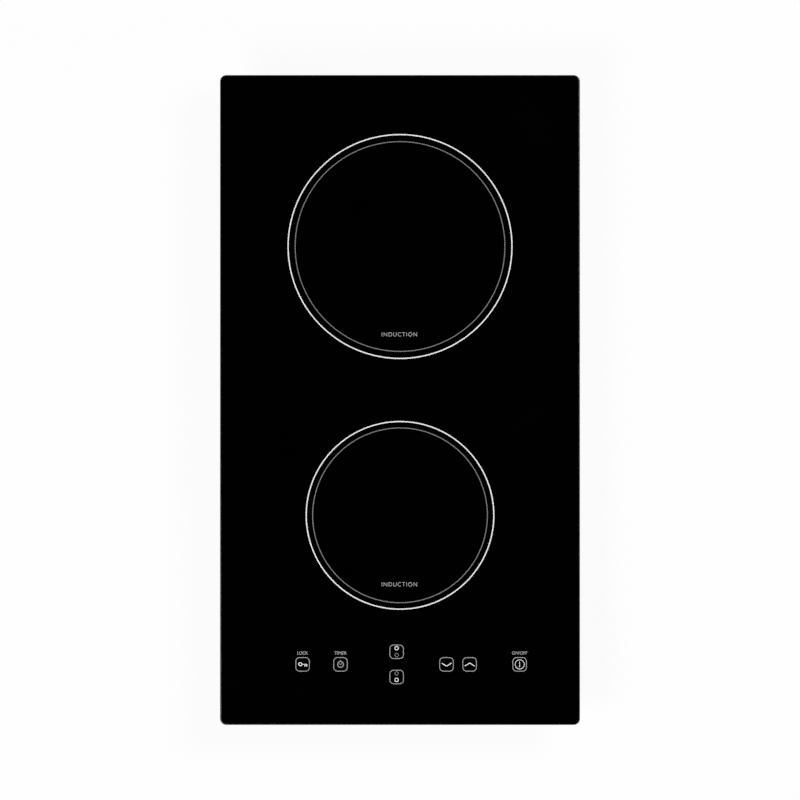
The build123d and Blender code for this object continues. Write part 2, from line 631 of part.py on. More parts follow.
def clamp_screws():
    screws = []
    for side, end in CLAMPS.values():
        x, y = clamp_place(side, end)
        head = post(x, y, CLAMP_HEAD_TOP - CLAMP_HEAD_HEIGHT, CLAMP_HEAD_TOP, CLAMP_HEAD_RADIUS)
        drive = Pos(x, y, 0) * slab(RegularPolygon(CLAMP_SOCKET_RADIUS, HEXAGON_SIDES),
                                    CLAMP_HEAD_TOP - CLAMP_HEAD_HEIGHT - SHEET,
                                    CLAMP_HEAD_TOP - CLAMP_HEAD_HEIGHT / 2)
        shank_top = POCKET_ROOF_TOP + CLAMP_NUT_HEIGHT + SHEET
        screws.append(head - drive + post(x, y, CLAMP_HEAD_TOP, shank_top, CLAMP_SCREW_RADIUS))
    return screws


def weld_nuts():
    bore = CLAMP_SCREW_RADIUS + RUNNING_CLEARANCE
    return [hexagon(*clamp_place(side, end), POCKET_ROOF_TOP, POCKET_ROOF_TOP + CLAMP_NUT_HEIGHT,
                    CLAMP_NUT_RADIUS, bore) for side, end in CLAMPS.values()]


def clamp_nut(side, end):
    return hexagon(*clamp_place(side, end), CLAMP_NUT_UNDER, CLAMP_NUT_UNDER + CLAMP_NUT_HEIGHT,
                   CLAMP_NUT_RADIUS, CLAMP_SCREW_RADIUS + RUNNING_CLEARANCE)


def clamp_arm(side, end):
    """A hub with an arm that lies along the pocket, pointing to the middle of the hob."""
    x, y = clamp_place(side, end)
    hub = post(x, y, CLAMP_HUB_UNDER, CLAMP_ARM_TOP, CLAMP_HUB_RADIUS)
    tip = CLAMP_ARM_WIDTH / 2
    reach = y - end * (CLAMP_ARM_LENGTH - tip)
    arm = block(x - tip, x + tip, min(y, reach), max(y, reach), CLAMP_ARM_TOP - CLAMP_ARM_THICKNESS,
                CLAMP_ARM_TOP)
    nose = post(x, reach, CLAMP_ARM_TOP - CLAMP_ARM_THICKNESS, CLAMP_ARM_TOP, tip)
    rib_y = (y + reach) / 2
    rib = block(x - SHEET, x + SHEET, min(y, rib_y), max(y, rib_y), CLAMP_HUB_UNDER + SHEET,
                CLAMP_ARM_TOP - CLAMP_ARM_THICKNESS)
    bore = post(x, y, CLAMP_HUB_UNDER - SHEET, CLAMP_ARM_TOP + SHEET,
                CLAMP_SCREW_RADIUS + RUNNING_CLEARANCE)
    return joined([hub, arm, nose, rib]) - bore


# Coils

def coil_radius(zone_diameter):
    return zone_diameter / 2 - COIL_MARGIN


def turn_sizes(outer, turns):
    """The pitch of a winding, the width of its strip and its first centre line radius."""
    pitch = (outer - COIL_EYE_RADIUS + TURN_GAP) / (turns + 1)
    width = pitch - TURN_GAP
    return pitch, width, COIL_EYE_RADIUS + width / 2


def turn_point(outer, turns, turn, angle, edge):
    """A point on one edge of one turn; edge is 1 for the outer edge and -1 for the inner."""
    pitch, width, first = turn_sizes(outer, turns)
    lower = angle >= 180
    radius = first + turn * pitch + edge * width / 2 + (pitch / 2 if lower else 0)
    centre_x = pitch / 2 if lower else 0
    return centre_x + radius * cos(radians(angle)), radius * sin(radians(angle))


def least_turn_gap(outer, turns):
    """The least distance between neighbouring turns, measured on points along their edges."""
    gaps = []
    for turn in range(turns - 1):
        for angle in range(0, 360, TURN_TEST_STEP):
            x0, y0 = turn_point(outer, turns, turn, angle, 1)
            x1, y1 = turn_point(outer, turns, turn + 1, angle, -1)
            gaps.append(sqrt((x1 - x0) ** 2 + (y1 - y0) ** 2))
    return min(gaps)


def spiral_winding(outer, turns):
    """A flat spiral of half circles about two centres, as one strip with even gaps."""
    pitch, width, first = turn_sizes(outer, turns)
    outside, inside = [], []
    for turn in range(turns):
        upper = first + turn * pitch
        lower = upper + pitch / 2
        outside.append(CenterArc((0, 0), upper + width / 2, 0, 180))
        outside.append(CenterArc((pitch / 2, 0), lower + width / 2, 180, 180))
        inside.append(CenterArc((0, 0), upper - width / 2, 0, 180))
        inside.append(CenterArc((pitch / 2, 0), lower - width / 2, 180, 180))
    last = first + turns * pitch
    ends = [
        Line((first - width / 2, 0), (first + width / 2, 0)),
        Line((last - width / 2, 0), (last + width / 2, 0)),
    ]
    outline = make_face(outside + inside + ends)
    return slab(outline, WIRE_UNDER, MICA_UNDER)


def coil_leg_places(centre_y, outer):
    distance = outer - COIL_LEG_RADIUS
    return [(distance * cos(radians(angle)), centre_y + distance * sin(radians(angle)))
            for angle in COIL_LEG_ANGLES]


def coil_winding(centre_y, outer, turns, lead_side):
    return Pos(0, centre_y, 0) * Rot(0, 0, 90 * lead_side) * spiral_winding(outer, turns)


def coil_carrier(centre_y, outer, lead_side):
    """A round deck with a lip, four legs and a slot for the lead from the coil's eye."""
    rim = outer + 2 * SHEET
    deck = post(0, centre_y, DECK_UNDER, WIRE_UNDER, rim)
    lip = tube(0, centre_y, WIRE_UNDER, WIRE_UNDER + DECK_LIP, rim, outer + TURN_GAP)
    legs = [post(x, y, SHIELD_TOP, DECK_UNDER, COIL_LEG_RADIUS)
            for x, y in coil_leg_places(centre_y, outer)]
    carrier = joined([deck, lip, *legs])
    slot = LEAD_RADIUS + TURN_GAP
    inner_y = centre_y + lead_side * (COIL_EYE_RADIUS - LEAD_RADIUS)
    outer_y = centre_y + lead_side * (rim + SHEET)
    carrier = carrier - block(-slot, slot, min(inner_y, outer_y), max(inner_y, outer_y),
                              DECK_UNDER - SHEET, WIRE_UNDER + DECK_LIP + SHEET)
    notch_y = centre_y + lead_side * (outer - LEAD_SPACING / 2)
    carrier = carrier - block(-LEAD_SPACING - slot, -LEAD_SPACING + slot, min(notch_y, outer_y),
                              max(notch_y, outer_y), WIRE_UNDER, WIRE_UNDER + DECK_LIP + SHEET)
    bores = [screw_hole(x, y, SHIELD_TOP - SHEET, DECK_UNDER) for x, y in coil_leg_places(centre_y, outer)]
    return carrier - bores


def coil_ferrites(centre_y, outer, lead_side):
    """Bars lying outwards under the deck, between the eye and the legs, clear of the lead slot."""
    inner_end = COIL_EYE_RADIUS + FERRITE_EYE_GAP
    outer_end = outer - 2 * COIL_LEG_RADIUS - SHEET
    bar = block(inner_end, outer_end, -FERRITE_WIDTH / 2, FERRITE_WIDTH / 2,
                DECK_UNDER - FERRITE_HEIGHT, DECK_UNDER)
    step = 360 / FERRITE_COUNT
    return [Pos(0, centre_y, 0) * Rot(0, 0, 90 * lead_side + step * (index + 0.5)) * bar
            for index in range(FERRITE_COUNT)]


def coil_cover(centre_y, outer, z0, z1):
    """A round sheet over the winding, with a hole for the heat sensor."""
    return tube(0, centre_y, z0, z1, outer, SENSOR_RADIUS + SENSOR_CLEARANCE)


def heat_sensor(centre_y):
    """A spring-loaded holder in the coil's eye, with its bead against the glass."""
    holder = post(0, centre_y, WIRE_UNDER, MAT_UNDER, SENSOR_RADIUS)
    return holder + post(0, centre_y, MAT_UNDER, GLASS_UNDER, SENSOR_RADIUS / 2)


def lead_drop_y(lead_side):
    """Leads of the rear coil, which leave to the front, drop behind those of the front coil."""
    return LEAD_MIDDLE_Y - lead_side * LEAD_DROP_PITCH / 2


def coil_leads(centre_y, outer, lead_side):
    """Two insulated wires from the coil to the power board: one from its rim, one from its eye."""
    drop_y = lead_drop_y(lead_side)
    rim_y = centre_y + lead_side * (sqrt(outer ** 2 - LEAD_SPACING ** 2) + TURN_GAP)
    eye_y = centre_y + lead_side * (COIL_EYE_RADIUS + LEAD_RADIUS)
    rim_z = WIRE_UNDER + LEAD_RADIUS + SCREW_HOLE_CLEARANCE
    eye_z = WIRE_UNDER - LEAD_RADIUS - SCREW_HOLE_CLEARANCE
    rim_x = -LEAD_SPACING
    rim_lead = [(rim_x, rim_y, rim_z), (rim_x, drop_y, rim_z), (rim_x, drop_y, LEAD_END_Z)]
    eye_lead = [(0, eye_y, eye_z), (0, drop_y, eye_z), (0, drop_y, LEAD_END_Z)]
    return [round_wire(points, LEAD_RADIUS, LEAD_BEND_RADIUS) for points in (rim_lead, eye_lead)]


def coil_terminals():
    """Screw posts on the power board for the four coil wires."""
    posts = []
    for lead_side in (-1, 1):
        for x in (-LEAD_SPACING, 0):
            y = lead_drop_y(lead_side)
            base = post(x, y, BOARD_TOP, LEAD_END_Z, 2 * LEAD_RADIUS)
            cup = tube(x, y, LEAD_END_Z, LEAD_END_Z + 2 * LEAD_RADIUS, 2 * LEAD_RADIUS,
                       LEAD_RADIUS + SCREW_HOLE_CLEARANCE)
            posts.append(base + cup)
    return posts


# Shield plate, posts and screws

def shield_post_places():
    ys = [SHIELD_FRONT_Y + POST_EDGE_DISTANCE, FRONT_ZONE_Y + FRONT_ZONE_DIAMETER / 4,
          LEAD_MIDDLE_Y + LEAD_DROP_PITCH * 3, SHIELD_REAR_Y - POST_EDGE_DISTANCE]
    return [(side * POST_X, y) for side in (-1, 1) for y in ys]


def coil_screw_places():
    rear = coil_leg_places(REAR_ZONE_Y, coil_radius(REAR_ZONE_DIAMETER))
    return rear + coil_leg_places(FRONT_ZONE_Y, coil_radius(FRONT_ZONE_DIAMETER))


def shield_plate():
    plate = block(-SHIELD_X, SHIELD_X, SHIELD_FRONT_Y, SHIELD_REAR_Y, SHIELD_UNDER, SHIELD_TOP)
    holes = [screw_hole(x, y, SHIELD_UNDER - SHEET, SHIELD_TOP + SHEET)
             for x, y in shield_post_places() + coil_screw_places()]
    for lead_side in (-1, 1):
        for x in (-LEAD_SPACING, 0):
            holes.append(post(x, lead_drop_y(lead_side), SHIELD_UNDER - SHEET, SHIELD_TOP + SHEET,
                              LEAD_RADIUS + SENSOR_CLEARANCE / 2))
    return plate - holes


def shield_posts():
    posts = []
    for x, y in shield_post_places():
        body = post(x, y, FLOOR_TOP, SHIELD_UNDER, POST_RADIUS)
        pin = post(x, y, FLOOR_UNDER, FLOOR_TOP, SCREW_RADIUS)
        thread = screw_hole(x, y, SHIELD_UNDER - POST_THREAD_DEPTH, SHIELD_UNDER + SHEET)
        posts.append(body + pin - thread)
    return posts


def shield_screws():
    return [screw(x, y, SHIELD_TOP, SHIELD_SHEET + POST_SCREW_GRIP, 1) for x, y in shield_post_places()]


def coil_screws():
    return [screw(x, y, SHIELD_UNDER, SHIELD_SHEET + COIL_LEG_HEIGHT - 2 * SCREW_RADIUS, -1)
            for x, y in coil_screw_places()]


# Blower

def scroll_outline(inset):
    """The blower's plan: a circle with a straight outlet to the front on its right side."""
    radius = SCROLL_RADIUS - inset
    outlet_x = BLOWER_X + SCROLL_RADIUS - BLOWER_OUTLET_WIDTH / 2
    length = SCROLL_RADIUS + BLOWER_WALL
    outlet = Rectangle(BLOWER_OUTLET_WIDTH - 2 * inset, length)
    reach = -length / 2 if inset == 0 else -length / 2 - BLOWER_WALL
    return Pos(BLOWER_X, BLOWER_Y) * Circle(radius) + Pos(outlet_x, BLOWER_Y + reach) * outlet


def blower_ear_places():
    """Three ears around the scroll, away from its outlet."""
    distance = SCROLL_RADIUS + BLOWER_EAR_OFFSET
    return [(BLOWER_X + distance * cos(radians(angle)), BLOWER_Y + distance * sin(radians(angle)))
            for angle in BLOWER_EAR_ANGLES]


def blower_housing():
    shell = slab(scroll_outline(0), FLOOR_TOP, BLOWER_COVER_UNDER)
    hollow = slab(scroll_outline(BLOWER_WALL), FLOOR_TOP + BLOWER_WALL, BLOWER_COVER_UNDER + SHEET)
    inlet = post(BLOWER_X, BLOWER_Y, FLOOR_TOP - SHEET, FLOOR_TOP + 2 * BLOWER_WALL, BLOWER_INLET_RADIUS)
    ears = [post(x, y, FLOOR_TOP, FLOOR_TOP + 2 * BLOWER_WALL, BLOWER_EAR_RADIUS)
            for x, y in blower_ear_places()]
    holes = [screw_hole(x, y, FLOOR_TOP - SHEET, FLOOR_TOP + 3 * BLOWER_WALL)
             for x, y in blower_ear_places()]
    return joined([shell, *ears]) - hollow - inlet - holes


def blower_cover():
    return slab(scroll_outline(0), BLOWER_COVER_UNDER, BLOWER_TOP)


def motor_under():
    return IMPELLER_TOP - HUB_HEIGHT


def blower_motor():
    """The fixed half of the motor, hung from the cover, with its shaft."""
    stator = post(BLOWER_X, BLOWER_Y, motor_under() + HUB_WALL + MOTOR_CLEARANCE, BLOWER_COVER_UNDER,
                  HUB_RADIUS - HUB_WALL - MOTOR_CLEARANCE)
    shaft = post(BLOWER_X, BLOWER_Y, motor_under() - HUB_WALL, motor_under() + HUB_WALL + MOTOR_CLEARANCE,
                 SHAFT_RADIUS)
    return stator + shaft


def blower_screws():
    return [screw(x, y, FLOOR_TOP + 2 * BLOWER_WALL, 2 * BLOWER_WALL + SHEET, 1)
            for x, y in blower_ear_places()]


def blower_impeller():
    """A cup around the motor, a top disc, and blades held by a ring at their foot."""
    x, y = BLOWER_X, BLOWER_Y
    under = motor_under()
    cup = tube(x, y, under, IMPELLER_TOP, HUB_RADIUS, HUB_RADIUS - HUB_WALL)
    floor = post(x, y, under, under + HUB_WALL, HUB_RADIUS)
    boss = post(x, y, under - HUB_WALL, under, HUB_BOSS_RADIUS)
    disc = tube(x, y, IMPELLER_TOP - HUB_WALL, IMPELLER_TOP, IMPELLER_RADIUS, HUB_RADIUS - HUB_WALL)
    foot = tube(x, y, IMPELLER_UNDER, IMPELLER_UNDER + HUB_WALL, IMPELLER_RADIUS,
                IMPELLER_RADIUS - BLADE_LENGTH / 2)
    blade = Pos(IMPELLER_RADIUS - BLADE_LENGTH / 2 - BLADE_THICKNESS, 0) * (
        Rot(0, 0, BLADE_ANGLE) * Rectangle(BLADE_LENGTH, BLADE_THICKNESS))
    step = 360 / IMPELLER_BLADES
    blades = [Pos(x, y, 0) * slab(Rot(0, 0, step * index) * blade, IMPELLER_UNDER, IMPELLER_TOP)
              for index in range(IMPELLER_BLADES)]
    bore = post(x, y, under - 2 * HUB_WALL, under + 2 * HUB_WALL, SHAFT_RADIUS + RUNNING_CLEARANCE)
    wheel = joined([cup, floor, boss, disc, foot])
    return wheel + blades - bore


# Power board and mains side

def standoff_places():
    inset = 2 * STANDOFF_RADIUS
    ys = [BOARD_FRONT_Y + inset, (BOARD_FRONT_Y + BOARD_REAR_Y) / 2, BOARD_REAR_Y - inset]
    places = [(side * (EQUIPMENT_X - inset), y) for side in (-1, 1) for y in ys]
    for x in (FILTER_X - FILTER_BOARD_WIDTH / 2 + inset, FILTER_X + FILTER_BOARD_WIDTH / 2 - inset):
        for y in (FILTER_Y - FILTER_BOARD_DEPTH / 2 + inset, FILTER_Y + FILTER_BOARD_DEPTH / 2 - inset):
            places.append((x, y))
    return places


def board_standoffs():
    """Plastic pillars riveted to the floor, with a snap head over the board."""
    pillars = []
    for x, y in standoff_places():
        body = post(x, y, FLOOR_TOP, BOARD_UNDER, STANDOFF_RADIUS)
        pin = post(x, y, FLOOR_UNDER, BOARD_TOP, SCREW_RADIUS)
        cap = post(x, y, BOARD_TOP, BOARD_TOP + SCREW_RADIUS, 2 * SCREW_RADIUS - SHEET / 2)
        pillars.append(joined([body, pin, cap]))
    return pillars


def board(x0, x1, y0, y1):
    """A printed circuit board with holes for the pillars that lie under it."""
    plate = block(x0, x1, y0, y1, BOARD_UNDER, BOARD_TOP)
    holes = [screw_hole(x, y, BOARD_UNDER - SHEET, BOARD_TOP + SHEET)
             for x, y in standoff_places() if x0 < x < x1 and y0 < y < y1]
    return plate - holes


def power_board():
    return board(-EQUIPMENT_X, EQUIPMENT_X, BOARD_FRONT_Y, BOARD_REAR_Y)


def filter_board():
    return board(FILTER_X - FILTER_BOARD_WIDTH / 2, FILTER_X + FILTER_BOARD_WIDTH / 2,
                 FILTER_FRONT_Y, FILTER_Y + FILTER_BOARD_DEPTH / 2)


def heatsink():
    x0 = BLOWER_X - HEATSINK_WIDTH / 2
    y0 = HEATSINK_Y - HEATSINK_LENGTH / 2
    y1 = HEATSINK_Y + HEATSINK_LENGTH / 2 - 4 * STANDOFF_RADIUS
    base = block(x0, x0 + HEATSINK_WIDTH, y0, y1, HEATSINK_UNDER, HEATSINK_UNDER + HEATSINK_BASE)
    pitch = (HEATSINK_WIDTH - FIN_THICKNESS) / (FIN_COUNT - 1)
    fins = []
    for index in range(FIN_COUNT):
        fin_x = x0 + pitch * index
        fins.append(block(fin_x, fin_x + FIN_THICKNESS, y0, y1, HEATSINK_UNDER, HEATSINK_TOP))
    return base + fins


def power_packages():
    """Two switching transistors and the bridge rectifier, under the heatsink."""
    packages = []
    step = HEATSINK_LENGTH / (PACKAGE_COUNT + 1)
    x0 = BLOWER_X - PACKAGE_WIDTH / 2
    for index in range(PACKAGE_COUNT):
        middle_y = HEATSINK_Y + (index - (PACKAGE_COUNT - 1) / 2) * step - 2 * STANDOFF_RADIUS
        y0 = middle_y - PACKAGE_LENGTH / 2
        packages.append(block(x0, x0 + PACKAGE_WIDTH, y0, y0 + PACKAGE_LENGTH, BOARD_TOP, HEATSINK_UNDER))
    return packages


def film_capacitor(x, y, width, depth):
    box = block(x - width / 2, x + width / 2, y - depth / 2, y + depth / 2, BOARD_TOP,
                BOARD_TOP + CAPACITOR_HEIGHT)
    return fillet(box.edges().filter_by(Axis.Z), SHEET)


def resonant_capacitors():
    x = -EQUIPMENT_X + RESONANT_WIDTH / 2 + 4 * STANDOFF_RADIUS
    first_y = LEAD_MIDDLE_Y - RESONANT_FROM_LEADS
    return [film_capacitor(x, y, RESONANT_WIDTH, RESONANT_DEPTH) for y in (first_y, first_y - RESONANT_PITCH)]


def smoothing_capacitors():
    x = -EQUIPMENT_X + SMOOTHING_WIDTH / 2 + 4 * STANDOFF_RADIUS
    first_y = LEAD_MIDDLE_Y + SMOOTHING_FROM_LEADS
    return [film_capacitor(x, y, SMOOTHING_WIDTH, SMOOTHING_DEPTH)
            for y in (first_y, first_y + SMOOTHING_PITCH)]


def supply_capacitors():
    """Small round capacitors of the low voltage supply, in a row before its transformer."""
    x = EQUIPMENT_X - SUPPLY_CAPACITOR_FROM_SIDE
    transformer_y = BOARD_FRONT_Y + TRANSFORMER_FROM_FRONT - BOBBIN_STEP
    y = transformer_y - SUPPLY_CAPACITOR_GAP - SUPPLY_CAPACITOR_RADIUS
    return [post(x - SUPPLY_CAPACITOR_PITCH * index, y, BOARD_TOP, BOARD_TOP + SUPPLY_CAPACITOR_HEIGHT,
                 SUPPLY_CAPACITOR_RADIUS) for index in range(SUPPLY_CAPACITOR_COUNT)]


def supply_transformer():
    """A ferrite core with the ends of its bobbin standing out."""
    x1 = EQUIPMENT_X - TRANSFORMER_FROM_SIDE
    x0 = x1 - TRANSFORMER_WIDTH
    y0 = BOARD_FRONT_Y + TRANSFORMER_FROM_FRONT
    y1 = y0 + TRANSFORMER_DEPTH
    top = BOARD_TOP + CAPACITOR_HEIGHT
    core = block(x0, x1, y0, y1, BOARD_TOP + BOBBIN_STEP, top)
    bobbin = block(x0 + BOBBIN_STEP, x1 - BOBBIN_STEP, y0 - BOBBIN_STEP, y1 + BOBBIN_STEP, BOARD_TOP,
                   top - BOBBIN_STEP)
    return core + bobbin


def ring_choke(x, y):
    """A ring core wound with wire, lying flat on its board."""
    ring = Torus(CHOKE_RADIUS, CHOKE_CORE_RADIUS)
    seat = post(x, y, BOARD_TOP, BOARD_TOP + CHOKE_CORE_RADIUS, CHOKE_CORE_RADIUS)
    spread = block(x - CHOKE_RADIUS, x + CHOKE_RADIUS, y - CHOKE_CORE_RADIUS / 2, y + CHOKE_CORE_RADIUS / 2,
                   BOARD_TOP, BOARD_TOP + CHOKE_CORE_RADIUS)
    return joined([Pos(x, y, BOARD_TOP + CHOKE_CORE_RADIUS) * ring, spread, seat])


def power_choke():
    return ring_choke(-CHOKE_RADIUS, BOARD_FRONT_Y + 2 * (CHOKE_RADIUS + CHOKE_CORE_RADIUS))


def mains_choke():
    return ring_choke(FILTER_X - FILTER_BOARD_WIDTH / 4, FILTER_Y)


def filter_capacitors():
    x = FILTER_X + FILTER_BOARD_WIDTH / 4
    return [film_capacitor(x, FILTER_Y + side * SUPPRESSION_PITCH / 2, SUPPRESSION_WIDTH, SUPPRESSION_DEPTH)
            for side in (-1, 1)]


def terminal_block():
    """A moulded block with a wire funnel and a screw well for each way."""
    x0 = TERMINAL_X - TERMINAL_WIDTH / 2
    top = FLOOR_TOP + TERMINAL_HEIGHT
    body = block(x0, x0 + TERMINAL_WIDTH, TERMINAL_Y - TERMINAL_DEPTH / 2, TERMINAL_Y + TERMINAL_DEPTH / 2,
                 FLOOR_TOP, top)
    pitch = TERMINAL_WIDTH / TERMINAL_WAYS
    wells = []
    for way in range(TERMINAL_WAYS):
        x = x0 + pitch * (way + 0.5)
        funnel = Cylinder(2 * WIRE_RADIUS, TERMINAL_DEPTH)
        wells.append(sideways(funnel, x, TERMINAL_Y + TERMINAL_DEPTH / 2, top - TERMINAL_HEIGHT / 2, 90))
        wells.append(post(x, TERMINAL_Y, top - TERMINAL_WELL_DEPTH, top + SHEET,
                          SCREW_HEAD_RADIUS + SCREW_HOLE_CLEARANCE))
    return body - wells


def terminal_screws():
    pitch = TERMINAL_WIDTH / TERMINAL_WAYS
    x0 = TERMINAL_X - TERMINAL_WIDTH / 2
    z0 = FLOOR_TOP + TERMINAL_HEIGHT - TERMINAL_WELL_DEPTH
    return [post(x0 + pitch * (way + 0.5), TERMINAL_Y, z0, z0 + SCREW_HEAD_HEIGHT, SCREW_HEAD_RADIUS)
            for way in range(TERMINAL_WAYS)]


def mains_wires():
    """Wires from the terminal block to the filter board, and from there to the power board."""
    wires = []
    back_y = TERMINAL_Y - TERMINAL_DEPTH / 2
    pitch = TERMINAL_WIDTH / TERMINAL_WAYS
    low = BOARD_TOP + WIRE_BEND_RADIUS + WIRE_STUB
    high = BOARD_TOP + WIRE_RISE
    landing = FILTER_Y + FILTER_BOARD_DEPTH / 2 - WIRE_FROM_FILTER_EDGE
    start = FILTER_FRONT_Y + WIRE_FROM_FILTER_EDGE
    end = min(BOARD_REAR_Y, FILTER_FRONT_Y) - WIRE_FROM_BOARD_EDGE
    for side in (-1, 1):
        x = TERMINAL_X + side * pitch / 2
        route = [(x, back_y - SCREW_HOLE_CLEARANCE, low), (x, landing, low), (x, landing, BOARD_TOP)]
        wires.append(round_wire(route, WIRE_RADIUS, WIRE_BEND_RADIUS))
    for side in (-1, 1):
        x = FILTER_X + side * pitch / 2
        route = [(x, start, BOARD_TOP), (x, start, high), (x, end, high), (x, end, BOARD_TOP)]
        wires.append(round_wire(route, WIRE_RADIUS, WIRE_BEND_RADIUS))
    return wires


# Terminal door and cable gland

def hinge_barrel(z0, z1, bore):
    return tube(HINGE_X, HINGE_Y, z0, z1, HINGE_BARREL_RADIUS, bore)


def hinge_levels():
    third = DOOR_HEIGHT / 3
    return DOOR_UNDER, DOOR_UNDER + third, DOOR_TOP - third, DOOR_TOP


def door_hinge():
    """The fixed leaf with two knuckles, and the pin through all three."""
    low, first, second, high = hinge_levels()
    wall = CASE_DEPTH / 2
    leaf = block(HINGE_X - HINGE_LEAF, HINGE_X, wall, wall + SHEET, low, high)
    gap = block(HINGE_X - HINGE_BARREL_RADIUS - RUNNING_GAP, HINGE_X + HINGE_LEAF, wall - SHEET,
                wall + 2 * SHEET, first - RUNNING_GAP, second + RUNNING_GAP)
    leaf = leaf - gap
    knuckles = []
    for z0, z1 in ((low, first - RUNNING_GAP), (second + RUNNING_GAP, high)):
        knuckles.append(hinge_barrel(z0, z1, HINGE_PIN_RADIUS))
        knuckles.append(block(HINGE_X - HINGE_BARREL_RADIUS, HINGE_X, wall, HINGE_Y, z0, z1)
                        - post(HINGE_X, HINGE_Y, z0 - SHEET, z1 + SHEET, HINGE_PIN_RADIUS))
    pin = post(HINGE_X, HINGE_Y, low, high, HINGE_PIN_RADIUS)
    return joined([leaf, *knuckles, pin])


def terminal_door():
    """A flat lid with one knuckle and a finger lip on its free edge."""
    low, first, second, high = hinge_levels()
    y0 = CASE_DEPTH / 2 + DOOR_GAP
    leaf = block(DOOR_LEFT_X + RUNNING_GAP, DOOR_RIGHT_X, y0, y0 + DOOR_THICKNESS, low, high)
    knuckle = hinge_barrel(first, second, HINGE_PIN_RADIUS + RUNNING_CLEARANCE)
    web = block(HINGE_X, DOOR_LEFT_X + HINGE_BARREL_RADIUS, y0, y0 + DOOR_THICKNESS, first, second)
    lip = block(DOOR_RIGHT_X - DOOR_THICKNESS, DOOR_RIGHT_X, y0, y0 + 2 * DOOR_THICKNESS, first, second)
    bore = post(HINGE_X, HINGE_Y, first - SHEET, second + SHEET, HINGE_PIN_RADIUS + RUNNING_CLEARANCE)
    return joined([leaf, knuckle, web, lip]) - bore


def along_y(z0, z1, outer, inner):
    """A ring about the gland's axis, between two distances from the rear wall's outer face."""
    ring = tube(0, 0, z0, z1, outer, inner)
    return Pos(GLAND_X, CASE_DEPTH / 2, GLAND_Z) * Rot(-90, 0, 0) * ring


def cable_gland():
    flange = along_y(0, GLAND_FLANGE_THICKNESS, GLAND_FLANGE_RADIUS, GLAND_BORE_RADIUS)
    neck = along_y(-GLAND_NECK_LENGTH, GLAND_FLANGE_THICKNESS, GLAND_NECK_RADIUS, GLAND_BORE_RADIUS)
    return flange + neck


def gland_nut():
    nut = slab(RegularPolygon(GLAND_FLANGE_RADIUS, HEXAGON_SIDES), -SHEET - GLAND_NUT_THICKNESS, -SHEET)
    bore = GLAND_NECK_RADIUS + SCREW_HOLE_CLEARANCE
    nut = nut - post(0, 0, -2 * GLAND_NECK_LENGTH, GLAND_NECK_LENGTH, bore)
    return Pos(GLAND_X, CASE_DEPTH / 2, GLAND_Z) * Rot(-90, 0, 0) * nut


# Control unit

def tray_leg_places():
    inset = TRAY_LEG_RADIUS + SHEET
    return [(side * (TRAY_HALF_WIDTH - inset), y) for side in (-1, 1)
            for y in (TRAY_FRONT_Y + inset, TRAY_REAR_Y - inset)]


def control_tray():
    """A plastic tray on four legs, with ribs that carry the control board."""
    plate = block(-TRAY_HALF_WIDTH, TRAY_HALF_WIDTH, TRAY_FRONT_Y, TRAY_REAR_Y, TRAY_UNDER, TRAY_TOP)
    pieces = [plate]
    for x, y in tray_leg_places():
        pieces.append(post(x, y, FLOOR_TOP, TRAY_UNDER, TRAY_LEG_RADIUS))
        pieces.append(post(x, y, FLOOR_UNDER, FLOOR_TOP, SCREW_RADIUS))
    for side in (-1, 1):
        rib_x = side * (CONTROL_HALF_WIDTH - TRAY_RIB_FROM_END)
        pieces.append(block(rib_x - SHEET, rib_x + SHEET, TRAY_FRONT_Y + TRAY_EDGE, TRAY_REAR_Y - TRAY_EDGE,
                            TRAY_TOP, CONTROL_UNDER))
    pieces.append(block(-SHEET, SHEET, TRAY_FRONT_Y + TRAY_EDGE, TRAY_REAR_Y - TRAY_EDGE, TRAY_TOP,
                        CONTROL_UNDER))
    return joined(pieces)


def control_board():
    return block(-CONTROL_HALF_WIDTH, CONTROL_HALF_WIDTH, TRAY_FRONT_Y + TRAY_EDGE, TRAY_REAR_Y - TRAY_EDGE,
                 CONTROL_UNDER, CONTROL_TOP)


def touch_pads():
    return [post(x, y, CONTROL_TOP, GLASS_UNDER, PAD_RADIUS) for x, y in KEYS]


def digit_displays():
    """A digit beside each zone key, and one for the timer."""
    top = GLASS_UNDER - DIGIT_GLASS_GAP
    offset = PAD_RADIUS + DIGIT_WIDTH
    timer, rear, front = KEYS[1:4]
    places = [(x + offset, y) for x, y in (rear, front, timer)]
    return [block(x - DIGIT_WIDTH / 2, x + DIGIT_WIDTH / 2, y - DIGIT_DEPTH / 2, y + DIGIT_DEPTH / 2,
                  CONTROL_TOP, top) for x, y in places]


def buzzer():
    x = (UP_KEY_X + POWER_KEY_X) / 2
    return post(x, KEY_ROW_Y, CONTROL_TOP, CONTROL_TOP + BUZZER_RADIUS, BUZZER_RADIUS)


def ribbon_socket():
    """The plug on the power board that takes the control ribbon."""
    half = RIBBON_WIDTH / 2 + SHEET
    front_y = BOARD_FRONT_Y + SHEET
    return block(-half, half, front_y, front_y + RIBBON_SOCKET_DEPTH, BOARD_TOP,
                 BOARD_TOP + RIBBON_SOCKET_HEIGHT)


def control_ribbon():
    """A flat cable from the control board's rear edge, down and back to the power board."""
    thickness = RIBBON_THICKNESS
    high = CONTROL_TOP + thickness / 2
    low = BOARD_TOP + RIBBON_SOCKET_HEIGHT / 2
    start = TRAY_REAR_Y - TRAY_EDGE - 2 * RIBBON_BEND_RADIUS
    middle = TRAY_REAR_Y + RIBBON_PASSAGE / 2
    end = BOARD_FRONT_Y + SHEET
    path = FilletPolyline((0, start, high), (0, middle, high), (0, middle, low), (0, end, low),
                          radius=RIBBON_BEND_RADIUS)
    section = Plane(origin=path @ 0, x_dir=(1, 0, 0), z_dir=path % 0) * Rectangle(RIBBON_WIDTH, thickness)
    return sweep(section, path)


